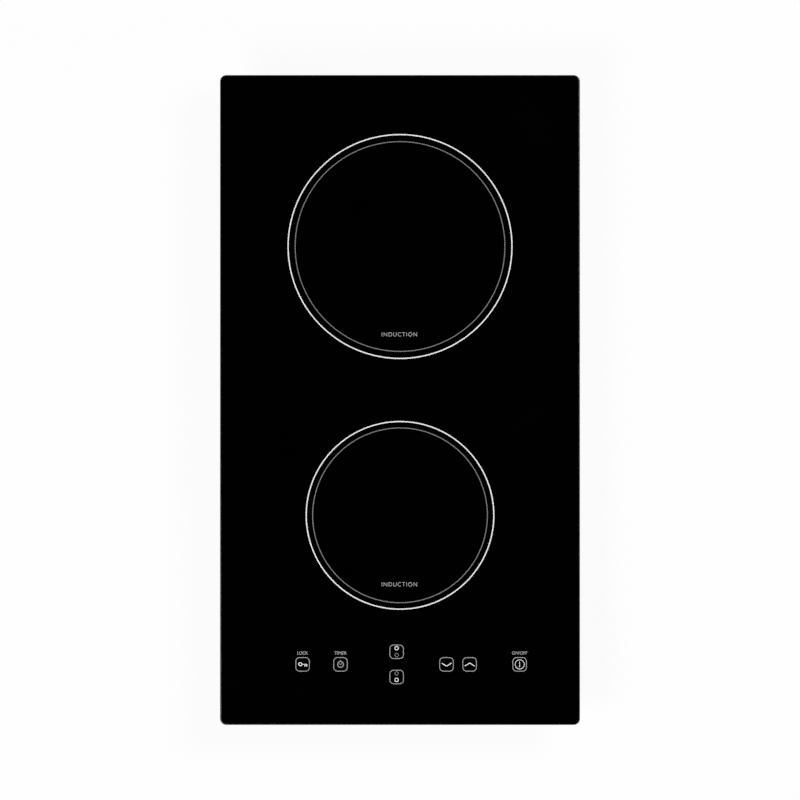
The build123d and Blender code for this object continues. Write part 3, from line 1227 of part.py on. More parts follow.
def all_parts():
    """Every named piece of the hob with its solids."""
    rear_outer = coil_radius(REAR_ZONE_DIAMETER)
    front_outer = coil_radius(FRONT_ZONE_DIAMETER)
    parts = {
        "glass_plate": glass_plate(),
        "worktop_gasket": worktop_gasket(),
        "rear_zone_print": zone_print(REAR_ZONE_Y, REAR_ZONE_DIAMETER, REAR_FINE_LINE_INSET),
        "front_zone_print": zone_print(FRONT_ZONE_Y, FRONT_ZONE_DIAMETER, FRONT_FINE_LINE_INSET),
        "key_print": key_outlines() + key_signs(),
        "bottom_case": bottom_case(),
        "carrier_frame": carrier_frame(),
        "glass_bond": glass_bond(),
        "case_screws": case_screws(),
        "clamp_screws": clamp_screws(),
        "weld_nuts": weld_nuts(),
        "shield_plate": shield_plate(),
        "shield_posts": shield_posts(),
        "inner_screws": shield_screws() + coil_screws() + blower_screws(),
        "blower_housing": blower_housing(),
        "blower_cover": blower_cover(),
        "blower_motor": blower_motor(),
        "blower_impeller": blower_impeller(),
        "power_board": power_board(),
        "board_standoffs": board_standoffs(),
        "filter_board": filter_board(),
        "heatsink": heatsink(),
        "power_packages": power_packages(),
        "film_capacitors": resonant_capacitors() + smoothing_capacitors() + filter_capacitors(),
        "supply_capacitors": supply_capacitors(),
        "supply_transformer": supply_transformer(),
        "ring_chokes": [power_choke(), mains_choke()],
        "coil_terminals": coil_terminals(),
        "terminal_block": terminal_block(),
        "terminal_screws": terminal_screws(),
        "mains_wires": mains_wires(),
        "door_hinge": door_hinge(),
        "terminal_door": terminal_door(),
        "cable_gland": cable_gland(),
        "gland_nut": gland_nut(),
        "control_tray": control_tray(),
        "control_board": control_board(),
        "touch_pads": touch_pads(),
        "digit_displays": digit_displays(),
        "buzzer": buzzer(),
        "ribbon_socket": ribbon_socket(),
        "control_ribbon": control_ribbon(),
    }
    for name, (side, end) in CLAMPS.items():
        parts["clamp_nut_" + name] = clamp_nut(side, end)
        parts["clamp_arm_" + name] = clamp_arm(side, end)
    coils = {
        "rear": (REAR_ZONE_Y, rear_outer, REAR_TURNS, -1),
        "front": (FRONT_ZONE_Y, front_outer, FRONT_TURNS, 1),
    }
    shared = {"mica_sheets": [], "fibre_mats": [], "heat_sensors": [], "coil_leads": []}
    for name, (centre_y, outer, turns, lead_side) in coils.items():
        parts[name + "_coil_winding"] = coil_winding(centre_y, outer, turns, lead_side)
        parts[name + "_coil_carrier"] = coil_carrier(centre_y, outer, lead_side)
        parts[name + "_ferrites"] = coil_ferrites(centre_y, outer, lead_side)
        shared["mica_sheets"].append(coil_cover(centre_y, outer, MICA_UNDER, MAT_UNDER))
        shared["fibre_mats"].append(coil_cover(centre_y, outer, MAT_UNDER, GLASS_UNDER))
        shared["heat_sensors"].append(heat_sensor(centre_y))
        shared["coil_leads"] += coil_leads(centre_y, outer, lead_side)
    parts.update(shared)
    return parts


def save(name, shapes):
    """Write one named piece, whose solids stay separate."""
    pieces = shapes if isinstance(shapes, list) else [shapes]
    solids = [solid for piece in pieces for solid in piece.solids()]
    export_step(Compound(solids), "parts/" + name + ".step")
    return len(solids)


os.makedirs("parts", exist_ok=True)
counts = {name: save(name, shapes) for name, shapes in all_parts().items()}
print(len(counts), "pieces,", sum(counts.values()), "solids")
for diameter, turns in ((REAR_ZONE_DIAMETER, REAR_TURNS), (FRONT_ZONE_DIAMETER, FRONT_TURNS)):
    print("least gap between turns", round(least_turn_gap(coil_radius(diameter), turns), 3), "mm")
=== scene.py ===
import json
import math

import bmesh
import bpy
import numpy as np
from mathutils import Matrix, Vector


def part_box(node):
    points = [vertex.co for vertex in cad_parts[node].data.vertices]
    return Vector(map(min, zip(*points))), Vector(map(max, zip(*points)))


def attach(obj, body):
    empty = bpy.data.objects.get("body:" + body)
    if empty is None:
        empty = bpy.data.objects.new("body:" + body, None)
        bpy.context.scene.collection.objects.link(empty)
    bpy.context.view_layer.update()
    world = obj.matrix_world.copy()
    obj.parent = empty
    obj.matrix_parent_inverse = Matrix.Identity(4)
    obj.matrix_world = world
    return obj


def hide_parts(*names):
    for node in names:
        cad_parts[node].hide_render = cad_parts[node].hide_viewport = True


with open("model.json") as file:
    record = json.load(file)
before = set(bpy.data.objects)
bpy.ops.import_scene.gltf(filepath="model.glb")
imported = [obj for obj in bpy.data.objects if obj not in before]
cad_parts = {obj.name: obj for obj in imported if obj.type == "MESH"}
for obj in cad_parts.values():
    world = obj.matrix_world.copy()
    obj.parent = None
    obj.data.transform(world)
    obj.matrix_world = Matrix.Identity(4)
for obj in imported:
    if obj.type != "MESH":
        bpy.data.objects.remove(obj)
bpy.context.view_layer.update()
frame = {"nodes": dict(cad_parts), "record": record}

MM = 0.001  # metres in a millimetre
MERGE = 0.001  # points of a piece that lie closer than this, in millimetres, become one
SHARP = 35  # degrees; an edge that folds by more stays crisp
CASING = "casing"  # the body that every piece made here rides on

# Camera and studio, in millimetres. The glow is the share of the floor's look that is plain white. The flag
# overhead starts and is full black at two heights on a sphere of radius 1.
VIEW_DISTANCE = 3000.0
VIEW_WIDTH = 640.0
SENSOR = 36.0
FLOOR_HALF = 40000.0
FLOOR_GLOW = 0.92
FLAG_EDGE = 0.0
FLAG_FULL = 0.45
LAMPS = {  # place, width of the disk, watts
    "key_lamp": ((-950.0, -800.0, 2150.0), 1000.0, 36.0),
    "fill_lamp": ((1050.0, 650.0, 2150.0), 1000.0, 32.0),
}

# Finishes; most of a noise texture lies between its low and high value, and a wave texture repeats once in
# its own length at scale 1
NOISE_LOW = 0.3
NOISE_HIGH = 0.7
WAVE_LENGTH = math.pi / 10
GLASS_IOR = 1.53

# Glass plate
BEVEL_TOP = 0.8
BEVEL_UNDER = 0.5
BEVEL_STEPS = 7
GLASS_CORNER = 5.0
CORNER_STEPS = 16
FLAT_BORDER = 2.0

# Printed lines of the zones and keys; the finest are drawn broader and greyer, so that they show evenly
PRINT_SHOULDER = 0.04
ZONE_LINE = 0.9
FINE_LINE = 0.6
REAR_FINE_RADIUS = 83.9
FRONT_FINE_RADIUS = 69.9
ZONE_STEPS = 256
KEY_SIDE = 11.4
KEY_CORNER = 3.3
KEY_LINE = 0.53
TIMER_FROM_LOCK = 30.3
SELECT_FROM_LOCK = 75.2
DOWN_FROM_POWER = -58.5
UP_FROM_POWER = -40.0

# Signs on the keys, in millimetres about a key's middle, each in one of the key row's two finishes
GREY, BRIGHT = 0, 1
RING_STEPS = 48
SIGN_RINGS = [  # key, middle, radius, line width, finish
    ("lock", (-1.85, 0.15), 1.3, 0.6, BRIGHT),
    ("rear", (0, 2.85), 1.4, 0.55, BRIGHT),
    ("rear", (0, -2.65), 1.4, 0.3, GREY),
    ("front", (0, 2.9), 1.4, 0.3, GREY),
    ("front", (0, -2.3), 1.4, 0.55, BRIGHT),
    ("power", (0.1, 0), 3.65, 0.44, BRIGHT),
]
SIGN_STROKES = [  # key, corners, line width, finish
    ("lock", [(-0.4, 0.1), (3.7, 0.1)], 0.55, BRIGHT),
    ("lock", [(1.75, 0.3), (1.75, -1.7)], 0.6, BRIGHT),
    ("lock", [(2.55, 0.3), (2.55, -1.2)], 0.45, BRIGHT),
    ("lock", [(3.4, 0.3), (3.4, -1.7)], 0.6, BRIGHT),
    ("timer", [(-1.15, 0.65), (0, -0.1), (1.15, 0.65)], 0.47, GREY),
    ("down", [(-3.85, 0.95), (0.05, -1.4), (4.0, 0.95)], 0.62, BRIGHT),
    ("up", [(-3.85, -1.3), (0.1, 1.05), (4.0, -1.3)], 0.62, BRIGHT),
    ("power", [(0, 2.4), (0, -2.4)], 0.5, BRIGHT),
]
DIAL_RADIUS = 2.3
DIAL_POINT = 2.85
DIAL_TOP = 90.0  # degrees
DIAL_OPENING = 22.0  # degrees to each side of the top
DIAL_LINE = 0.62

# Printed words; letters are a height in millimetres, a spacing, and how far the sides of a stroke move out,
# or in where it is below nought, as a share of the type size
WORD_EXTRUSION = 0.1
KEY_WORDS = {"lock": ("LOCK", 8.4), "timer": ("TIMER", 9.7), "power": ("ON/OFF", 12.1)}
KEY_LETTERS = (2.5, 0.95, -0.008)
KEY_WORD_RISE = 9.1
ZONE_WORD = "INDUCTION"
ZONE_LETTERS = (3.25, 1.2, -0.012)
ZONE_WORD_WIDTH = 28.2
ZONE_WORD_SHIFT = -0.5
REAR_WORD_DROP = 70.3
FRONT_WORD_DROP = 55.2

# Foam seal
SEAL_WIDTH = 8.0
SEAL_CORNER = 4.0
SEAL_ROUND = 0.7
SEAL_STEPS = 5
SEAL_SHARP = 60  # degrees

# Screws that hold the case
THREAD_ROWS = 6
SCREW_COLUMNS = 48
SCREW_RADIUS = 3.0
SCREW_DOME = 1.8
SCREW_RIM = 0.55
SCREW_CROWN = 2.4
SCREW_CENTRE = 0.02
SCREW_ROWS = 22
SCREW_NECK = 1.6
SCREW_SHANK = 1.5
SCREW_THREAD_DEPTH = 0.3
SCREW_PITCH = 1.06
SCREW_TIP = 0.5
SCREW_LENGTH = 5.3
SCREW_FROM_END = 50.0
SCREW_LEVEL = -5.0
CROSS_WIDTH = 0.95
CROSS_LENGTH = 3.6
CROSS_DEPTH = 1.2
CROSS_WALL = 0.15
CROSS_SLOPE = 0.5

# Screws of the swing clamps
CLAMP_COLUMNS = 36
CLAMP_HEAD_RADIUS = 4.3
CLAMP_HEAD_HEIGHT = 3.2
CLAMP_RIB = 0.12
CLAMP_CHAMFER = 0.4
CLAMP_SHANK = 2.5
CLAMP_THREAD_DEPTH = 0.42
CLAMP_PITCH = 0.8
CLAMP_TIP = 0.5
SOCKET_RADIUS = 2.25
SOCKET_DEPTH = 1.6
SOCKET_CENTRE = 0.3

# Cable gland; its lip is given as steps out from the bore and down from the face, its rim from the flange
GLAND_COLUMNS = 72
GLAND_BORE = 5.0
GLAND_RIB_COLUMNS = 3
GLAND_RIB = 0.35
GLAND_LIP = [(0, 0.8), (0.25, 0.2), (0.8, 0), (1.4, 0.15), (1.9, 0.7), (2.6, 0.7), (3.0, 0.1)]
GLAND_RIM = [(1.4, 0.1), (0.7, 0.35)]
GLAND_RIM_DROP = 0.8
GLAND_NECK = 8.0
GLAND_NECK_LENGTH = 9.0
GLAND_NECK_RELIEF = 1.0
GLAND_THREAD_DEPTH = 0.45
GLAND_PITCH = 1.5


def box_of(node):
    """The lowest and highest corner of a node of the frame, in millimetres."""
    low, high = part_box(node)
    return np.array(low) / MM, np.array(high) / MM


# Surfaces

def grid_faces(rows, columns, ring_rows=False, ring_columns=False):
    """The quads of a grid of points numbered row by row; a ringed direction closes on itself."""
    row = np.arange(rows if ring_rows else rows - 1)[:, None]
    column = np.arange(columns if ring_columns else columns - 1)[None, :]
    next_row, next_column = (row + 1) % rows, (column + 1) % columns
    corners = [row * columns + column, row * columns + next_column,
               next_row * columns + next_column, next_row * columns + column]
    return np.stack(corners, axis=-1).reshape(-1, 4)


def directions(angles):
    """Unit vectors in plan: the cosine and the sine of each angle."""
    return np.stack([np.cos(angles), np.sin(angles)], axis=-1)


def circle_path(x, y, radius, steps):
    """Points on a circle, centre plus radius times direction, with the direction as the way out."""
    outward = directions(np.linspace(0, 2 * np.pi, steps, endpoint=False))
    return np.array([x, y]) + radius * outward, outward


def rounded_path(x, y, width, depth, corner, steps):
    """A rectangle with round corners: four quarter circles, one about each corner's centre."""
    turn = np.linspace(0, np.pi / 2, steps)
    outward = directions((np.arange(4)[:, None] * np.pi / 2 + turn).ravel())
    signs = np.array([[1, 1], [-1, 1], [-1, -1], [1, -1]])
    centres = signs * (np.array([width, depth]) / 2 - corner) + np.array([x, y])
    return np.repeat(centres, steps, axis=0) + corner * outward, outward


def carried(path, outward, profile):
    """A profile of (distance outwards, height) pairs carried along a path in plan."""
    plan = path[:, None, :] + outward[:, None, :] * profile[None, :, :1]
    height = np.broadcast_to(profile[None, :, 1:], (*plan.shape[:2], 1))
    return np.concatenate([plan, height], axis=-1).reshape(-1, 3)


def print_profile(width, low, high):
    """The section of a printed line: flat below, flat on top, with sloped shoulders."""
    half, top = width / 2, width / 2 - PRINT_SHOULDER
    return np.array([(-half, low), (half, low), (top, high), (-top, high)])


def closed_line(path, outward, width, levels, finish=0):
    """A printed line on a closed path: the line's section carried round it."""
    profile = print_profile(width, *levels)
    faces = grid_faces(len(path), len(profile), ring_rows=True, ring_columns=True)
    return carried(path, outward, profile), [(faces, finish)]


def open_line(corners, width, levels, finish):
    """A printed line through corners, mitred at each: the way out is the sum of two runs' normals."""
    path = np.array(corners, float)
    run = np.diff(path, axis=0)
    run = run / np.linalg.norm(run, axis=1, keepdims=True)
    normal = np.stack([-run[:, 1], run[:, 0]], axis=-1)
    before, after = np.vstack([normal[:1], normal]), np.vstack([normal, normal[-1:]])
    outward = (before + after) / (1 + np.sum(before * after, axis=1, keepdims=True))
    profile = print_profile(width, *levels)
    count = len(profile)
    faces = grid_faces(len(path), count, ring_columns=True)
    ends = np.array([np.arange(count), np.arange(count) + (len(path) - 1) * count])
    return carried(path, outward, profile), [(faces, finish), (ends, finish)]


def turned(radius, height):
    """A turned shape: rows of radius and height round the Z axis, closed by a flat face at each end.

    radius and height are arrays of rows by angles, so that a thread or a hexagon can change along them.
    """
    rows, columns = radius.shape
    around = directions(np.linspace(0, 2 * np.pi, columns, endpoint=False))
    plan = radius[:, :, None] * around[None, :, :]
    points = np.concatenate([plan, height[:, :, None]], axis=-1).reshape(-1, 3)
    ends = np.array([np.arange(columns), np.arange(columns) + (rows - 1) * columns])
    return points, [(grid_faces(rows, columns, ring_columns=True), 0), (ends, 0)]


def faced(shape, way, place):
    """A shape whose Z axis is turned to a level direction, with its X axis level, and moved to its place."""
    points, blocks = shape
    x, y = way
    axes = np.array([[-y, x, 0], [0, 0, 1], [x, y, 0]], float)
    return points @ axes + np.array(place), blocks


def moved(shape, place):
    """A shape moved to its place."""
    points, blocks = shape
    return points + np.array(place), blocks


def joined(shapes):
    """Several shapes as one: the later ones' face numbers follow on from the points before them."""
    starts = np.cumsum([0] + [len(points) for points, blocks in shapes])
    points = np.concatenate([points for points, blocks in shapes])
    blocks = [(faces + start, finish) for start, (_, found) in zip(starts, shapes) for faces, finish in found]
    return points, blocks


def put(name, data):
    """A new object of this data in the scene, at the origin."""
    thing = bpy.data.objects.new(name, data)
    bpy.context.scene.collection.objects.link(thing)
    return thing


def make_piece(name, shape, finishes, nodes=(), sharp=SHARP):
    """A closed mesh piece from a shape in millimetres, with outward faces, in place of CAD nodes."""
    points, blocks = shape
    mesh = bpy.data.meshes.new(name)
    mesh.from_pydata((points * MM).tolist(), [], [face for faces, _ in blocks for face in faces.tolist()])
    numbers = np.concatenate([np.full(len(faces), finish) for faces, finish in blocks])
    mesh.polygons.foreach_set("material_index", numbers.astype(np.int32))
    for finish in finishes:
        mesh.materials.append(finish)
    shell = bmesh.new()
    shell.from_mesh(mesh)
    bmesh.ops.remove_doubles(shell, verts=shell.verts[:], dist=MERGE * MM)
    bmesh.ops.recalc_face_normals(shell, faces=shell.faces[:])
    shell.to_mesh(mesh)
    shell.free()
    mesh.shade_smooth()
    mesh.set_sharp_from_angle(angle=math.radians(sharp))
    piece = put(name, mesh)
    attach(piece, CASING)
    if nodes:
        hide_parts(*nodes)
    return piece


# Finishes

def linear(code):
    """An sRGB hex colour as linear red, green and blue, by the sRGB curve, with full cover."""
    part = np.array([int(code[at:at + 2], 16) for at in (1, 3, 5)]) / 255
    return *np.where(part > 0.04045, ((part + 0.055) / 1.055) ** 2.4, part / 12.92).tolist(), 1.0


def add(tree, kind, inputs=None, **settings):
    """Adds a node with its settings; an input is a plain value or another node's output."""
    node = tree.nodes.new("ShaderNode" + kind)
    for name, value in settings.items():
        setattr(node, name, value)
    for name, value in (inputs or {}).items():
        if isinstance(value, bpy.types.NodeSocket):
            tree.links.new(value, node.inputs[name])
        else:
            node.inputs[name].default_value = value
    return node


def blank(name, **sockets):
    """A new material with its tree, its shader and plain numbers on the shader's sockets."""
    material = bpy.data.materials.new(name)
    material.use_nodes = True
    tree = material.node_tree
    shader = tree.nodes["Principled BSDF"]
    for socket, value in sockets.items():
        shader.inputs[socket.replace("_", " ")].default_value = value
    return material, tree, shader


def pattern_space(tree, size, stretch=(1, 1, 1)):
    """Object coordinates in units of a pattern's size in millimetres, longer along an axis by its stretch."""
    place = add(tree, "TexCoord")
    scale = [1 / (size * MM * share) for share in stretch]
    return add(tree, "Mapping", {"Vector": place.outputs["Object"], "Scale": scale}).outputs["Vector"]


def dress(tree, shader, mask, colours, roughness, relief):
    """Colour, gloss and relief of a shader from one mask; the relief is a height in millimetres."""
    low, high = (linear(colour) for colour in colours)
    blend = add(tree, "Mix", {"Factor": mask, "A": low, "B": high}, data_type="RGBA")
    gloss = add(tree, "MapRange", {"Value": mask, "To Min": roughness[0], "To Max": roughness[1]})
    bump = add(tree, "Bump", {"Height": mask, "Distance": relief * MM})
    tree.links.new(blend.outputs["Result"], shader.inputs["Base Color"])
    tree.links.new(gloss.outputs["Result"], shader.inputs["Roughness"])
    tree.links.new(bump.outputs["Normal"], shader.inputs["Normal"])


def grained(name, colours, grain, roughness, relief, stretch=(1, 1, 1), **sockets):
    """A finish that follows one cloudy noise, whose spots are as large as the grain in millimetres."""
    material, tree, shader = blank(name, **sockets)
    space = pattern_space(tree, grain, stretch)
    noise = add(tree, "TexNoise", {"Vector": space, "Scale": 1.0, "Detail": 4.0})
    spread = add(tree, "MapRange", {"Value": noise.outputs["Fac"], "From Min": NOISE_LOW,
                                    "From Max": NOISE_HIGH})
    dress(tree, shader, spread.outputs["Result"], colours, roughness, relief)
    return material


# Black glass-ceramic, rolled and polished: near black, mirror bright, with the faintest roll waves, about
# 70 mm long.
def black_glass():
    material, tree, shader = blank("black_glass_ceramic", IOR=GLASS_IOR)
    film = add(tree, "TexNoise", {"Vector": pattern_space(tree, 70), "Scale": 1.0, "Detail": 5.0})
    dress(tree, shader, film.outputs["Fac"], ("#000000", "#020202"), (0.03, 0.075), 0.004)
    return material


# Ground glass edge: the same glass cut by a diamond wheel, so greyer and softer in its shine.
def ground_edge():
    return grained("ground_glass_edge", ("#0A0B0B", "#151616"), grain=0.5, roughness=(0.22, 0.34),
                   relief=0.01, IOR=GLASS_IOR)


# Fired enamel, screen printed: chalky dots that run together; the screen is drawn coarse to show.
def enamel(tone, colours):
    return grained("fired_enamel_" + tone, colours, grain=0.5, roughness=(0.42, 0.58), relief=0.006)


# Closed cell foam tape: charcoal, dull, with open pores of about 0.6 mm on its cut sides.
def foam():
    material, tree, shader = blank("closed_cell_foam", IOR=1.45)
    cells = add(tree, "TexVoronoi", {"Vector": pattern_space(tree, 0.6), "Scale": 1.0}, feature="F1")
    dress(tree, shader, cells.outputs["Distance"], ("#141415", "#2C2C2E"), (0.85, 0.95), 0.12)
    return material


# Hot dip galvanised sheet: angular zinc crystals about 7 mm wide, each with its own tone and gloss,
# crossed by smaller ones of about 3 mm. Their edges sway by about a third of their size.
def galvanised():
    material, tree, shader = blank("galvanised_steel", Metallic=1.0)
    tones = []
    for size in (7, 3):
        space = pattern_space(tree, size)
        sway = add(tree, "TexNoise", {"Vector": space, "Scale": 3.0, "Detail": 2.0})
        bend = add(tree, "VectorMath", {0: sway.outputs["Color"], "Scale": 0.35}, operation="SCALE")
        bent = add(tree, "VectorMath", {0: bend.outputs["Vector"], 1: space}, operation="ADD")
        crystal = add(tree, "TexVoronoi", {"Vector": bent.outputs["Vector"], "Scale": 1.0}, feature="F1")
        tones.append(add(tree, "SeparateColor", {"Color": crystal.outputs["Color"]}).outputs["Red"])
    both = add(tree, "Mix", {"Factor": 0.4, "A": tones[0], "B": tones[1]})
    dress(tree, shader, both.outputs["Result"], ("#8C9194", "#A8ADB0"), (0.28, 0.46), 0.008)
    return material


# Flat cable: grey vinyl over parallel wires 1.27 mm apart.
def flat_cable():
    material, tree, shader = blank("flat_cable_vinyl", IOR=1.5)
    wires = add(tree, "TexWave", {"Vector": pattern_space(tree, 1.27), "Scale": WAVE_LENGTH},
                wave_type="BANDS", bands_direction="X", wave_profile="SIN")
    dress(tree, shader, wires.outputs["Fac"], ("#7C7C80", "#B4B4B8"), (0.4, 0.5), 0.2)
    return material


# Lacquered laminate: green solder lacquer, a little lighter over copper tracks that lie 2.5 mm apart.
def laminate():
    material, tree, shader = blank("lacquered_laminate", IOR=1.5)
    white, black = linear("#FFFFFF"), linear("#000000")
    rows = {"Vector": pattern_space(tree, 2.5), "Scale": 1.0, "Row Height": 1.0, "Brick Width": 7.0,
            "Color1": white, "Color2": white, "Mortar": black, "Mortar Size": 0.22, "Mortar Smooth": 0.3}
    tracks = add(tree, "TexBrick", rows, offset=0.37, offset_frequency=3, squash=0.6, squash_frequency=4)
    dress(tree, shader, tracks.outputs["Color"], ("#0B4A29", "#12653A"), (0.25, 0.35), 0.035)
    return material


def make_finishes():
    """One finish for each material slot of the record."""
    return {
        "black_glass_ceramic": black_glass(),
        "enamel_print": enamel("white", ("#EDEDEC", "#F6F6F5")),
        "foam_seal": foam(),
        "galvanised_steel": galvanised(),
        # Bright zinc plate over turned steel: silvery with a faint yellow cloud.
        "zinc_plated_steel": grained("bright_zinc_plate", ("#B4B5B2", "#D2D1CB"), grain=2.5,
                                     roughness=(0.22, 0.36), relief=0.004, Metallic=1.0),
        # Mill finish aluminium: rolling lines along the sheet.
        "sheet_aluminium": grained("mill_aluminium", ("#B8BBBE", "#D4D6D8"), grain=0.4,
                                   roughness=(0.28, 0.42), relief=0.005, stretch=(1, 40, 1), Metallic=1.0),
        # Cured silicone: dark, rubbery, smooth skin with slight waves.
        "silicone": grained("cured_silicone", ("#262628", "#303033"), grain=4, roughness=(0.45, 0.6),
                            relief=0.05),
        # Black polypropylene, moulded against etched steel: dull leathery grain.
        "black_plastic": grained("moulded_black_plastic", ("#1A1A1B", "#262627"), grain=0.7,
                                 roughness=(0.48, 0.62), relief=0.03),
        # White polyamide, moulded smooth: satin, slightly cloudy.
        "white_plastic": grained("moulded_white_polyamide", ("#DCDAD2", "#E9E7E0"), grain=3,
                                 roughness=(0.38, 0.5), relief=0.01),
        # Glass filled phenolic: brown black with pale fibre flecks.
        "carrier_plastic": grained("glass_filled_phenolic", ("#2F2A26", "#4A443E"), grain=0.9,
                                   roughness=(0.5, 0.65), relief=0.02),
        # Grey nylon, moulded: waxy and smooth.
        "gland_plastic": grained("moulded_grey_nylon", ("#3A3C3E", "#46484A"), grain=1.2,
                                 roughness=(0.36, 0.48), relief=0.012),
        # Melamine terminal body: ivory and matt.
        "terminal_plastic": grained("ivory_melamine", ("#D6CFBC", "#E3DDCC"), grain=2,
                                    roughness=(0.45, 0.58), relief=0.01),
        # Film capacitor box: deep blue filled resin with a slight shine.
        "capacitor_plastic": grained("blue_potted_box", ("#1C3C86", "#26489A"), grain=1.5,
                                     roughness=(0.3, 0.42), relief=0.008),
        # Shrink sleeve on a capacitor can: black and glossy.
        "capacitor_can": grained("shrink_sleeve", ("#1B1B20", "#2A2A31"), grain=2, roughness=(0.25, 0.36),
                                 relief=0.01),
        # Moulded epoxy packages: charcoal with a fine matt bloom.
        "moulded_epoxy": grained("moulded_epoxy", ("#222223", "#2E2E2F"), grain=0.3, roughness=(0.5, 0.62),
                                 relief=0.006),
        "board_laminate": laminate(),
        # Motor core: stacked steel sheets half a millimetre thick, seen as level lines.
        "motor_steel": grained("stacked_core_steel", ("#6E6E70", "#9A9A9C"), grain=0.5,
                               roughness=(0.35, 0.5), relief=0.03, stretch=(30, 30, 1), Metallic=1.0),
        # Enamelled copper wire: warm red brown with a lacquer gloss.
        "copper": grained("enamelled_copper", ("#9C4F28", "#C97A48"), grain=0.6, roughness=(0.24, 0.36),
                          relief=0.02, Metallic=1.0),
        # Turned brass: yellow with fine tool marks.
        "brass": grained("turned_brass", ("#B79447", "#D8BA6C"), grain=0.5, roughness=(0.24, 0.36),
                         relief=0.006, Metallic=1.0),
        # Sintered ferrite: dark grey, dry and fine grained.
        "ferrite": grained("sintered_ferrite", ("#343436", "#454547"), grain=0.4, roughness=(0.6, 0.75),
                           relief=0.015),
        # Pressed mica: buff flakes that glint.
        "mica": grained("pressed_mica", ("#A89876", "#CDBE9E"), grain=3, roughness=(0.3, 0.5), relief=0.02),
        # Ceramic fibre felt: off white and fluffy.
        "fibre_mat": grained("ceramic_fibre_felt", ("#D8D5CC", "#F0EEE8"), grain=0.8, roughness=(0.9, 1.0),
                             relief=0.2),
        # Moulded silicone sensor cup: pale and soft.
        "sensor_silicone": grained("moulded_silicone", ("#BEBDB6", "#CFCEC8"), grain=1.5,
                                   roughness=(0.5, 0.62), relief=0.01),
        # Carbon filled foam: black with a fine sponge grain.
        "conductive_foam": grained("carbon_foam", ("#1D1D1F", "#313134"), grain=0.5, roughness=(0.8, 0.95),
                                   relief=0.1),
        # Glass fibre sleeve: ivory braid.
        "wire_sleeve": grained("glass_fibre_sleeve", ("#C6C2B4", "#E0DCD0"), grain=0.6,
                               roughness=(0.6, 0.75), relief=0.06),
        "ribbon_sleeve": flat_cable(),
    }


# Pieces that stand for CAD nodes

def glass_plate(finishes):
    """The plate: its edge section, round above and below, carried round the outline between two flats."""
    low, high = box_of("glass_plate")
    size, bottom, top = high - low, low[2], high[2]
    quarter = np.linspace(0, np.pi / 2, BEVEL_STEPS)
    curve = np.stack([np.sin(quarter) - 1, 1 - np.cos(quarter)], axis=-1)
    lower = (0, bottom) + BEVEL_UNDER * curve
    upper = (0, top) + BEVEL_TOP * curve[::-1] * (1, -1)
    profile = np.vstack([[-FLAT_BORDER, bottom], lower, upper, [-FLAT_BORDER, top]])
    path, outward = rounded_path(0, 0, size[0], size[1], GLASS_CORNER, CORNER_STEPS)
    count = len(profile)
    faces = grid_faces(len(path), count, ring_rows=True).reshape(len(path), count - 1, 4)
    rings = np.arange(len(path)) * count
    polished, ground = 0, 1
    shape = carried(path, outward, profile), [
        (faces[:, 1:-1].reshape(-1, 4), ground), (faces[:, [0, -1]].reshape(-1, 4), polished),
        (rings[None, :], polished), (rings[None, :] + count - 1, polished)]
    make_piece("ground_glass_plate", shape, [finishes["black_glass_ceramic"], ground_edge()],
               ["glass_plate"])


def zone_lines(zone, fine_radius, finishes, levels):
    """The two printed circles of one zone: a broad line and a fine line inside it."""
    low, high = box_of(zone + "_zone_print")
    x, y = ((low + high) / 2)[:2]
    radius = (high[0] - low[0] - ZONE_LINE) / 2
    shape = joined([
        closed_line(*circle_path(x, y, radius, ZONE_STEPS), ZONE_LINE, levels),
        closed_line(*circle_path(x, y, fine_radius, ZONE_STEPS), FINE_LINE, levels, finish=1),
    ])
    make_piece(zone + "_zone_lines", shape, finishes, [zone + "_zone_print"])
    return x, y


def key_places():
    """The middle of each key, from the box of the printed key row."""
    low, high = box_of("key_print")
    row = (low[1] + high[1]) / 2
    reach = (high[1] - low[1] - KEY_SIDE) / 2
    lock, power = low[0] + KEY_SIDE / 2, high[0] - KEY_SIDE / 2
    return {
        "lock": (lock, row),
        "timer": (lock + TIMER_FROM_LOCK, row),
        "rear": (lock + SELECT_FROM_LOCK, row + reach),
        "front": (lock + SELECT_FROM_LOCK, row - reach),
        "down": (power + DOWN_FROM_POWER, row),
        "up": (power + UP_FROM_POWER, row),
        "power": (power, row),
    }


def key_signs(places, levels):
    """The sign on each key: rings, strokes, and a dial that is a circle drawn up to a point at its top."""
    shapes = []
    for key, (x, y), radius, width, finish in SIGN_RINGS:
        path = circle_path(places[key][0] + x, places[key][1] + y, radius, RING_STEPS)
        shapes.append(closed_line(*path, width, levels, finish))
    turn = DIAL_TOP + np.linspace(DIAL_OPENING, 360 - DIAL_OPENING, RING_STEPS)
    around = DIAL_RADIUS * directions(np.radians(turn))
    dial = ("timer", [*around, (0, DIAL_POINT), around[0]], DIAL_LINE, GREY)
    for key, corners, width, finish in [*SIGN_STROKES, dial]:
        shapes.append(open_line(np.array(corners) + places[key], width, levels, finish))
    return shapes


def key_print(finishes, levels):
    """Seven key frames with rounded corners, and the sign inside each."""
    places = key_places()
    inset = KEY_SIDE - KEY_LINE
    frames = [closed_line(*rounded_path(x, y, inset, inset, KEY_CORNER - KEY_LINE / 2, CORNER_STEPS),
                          KEY_LINE, levels) for x, y in places.values()]
    shape = joined(frames + key_signs(places, levels))
    make_piece("key_lines", shape, finishes, ["key_print"])
    return places


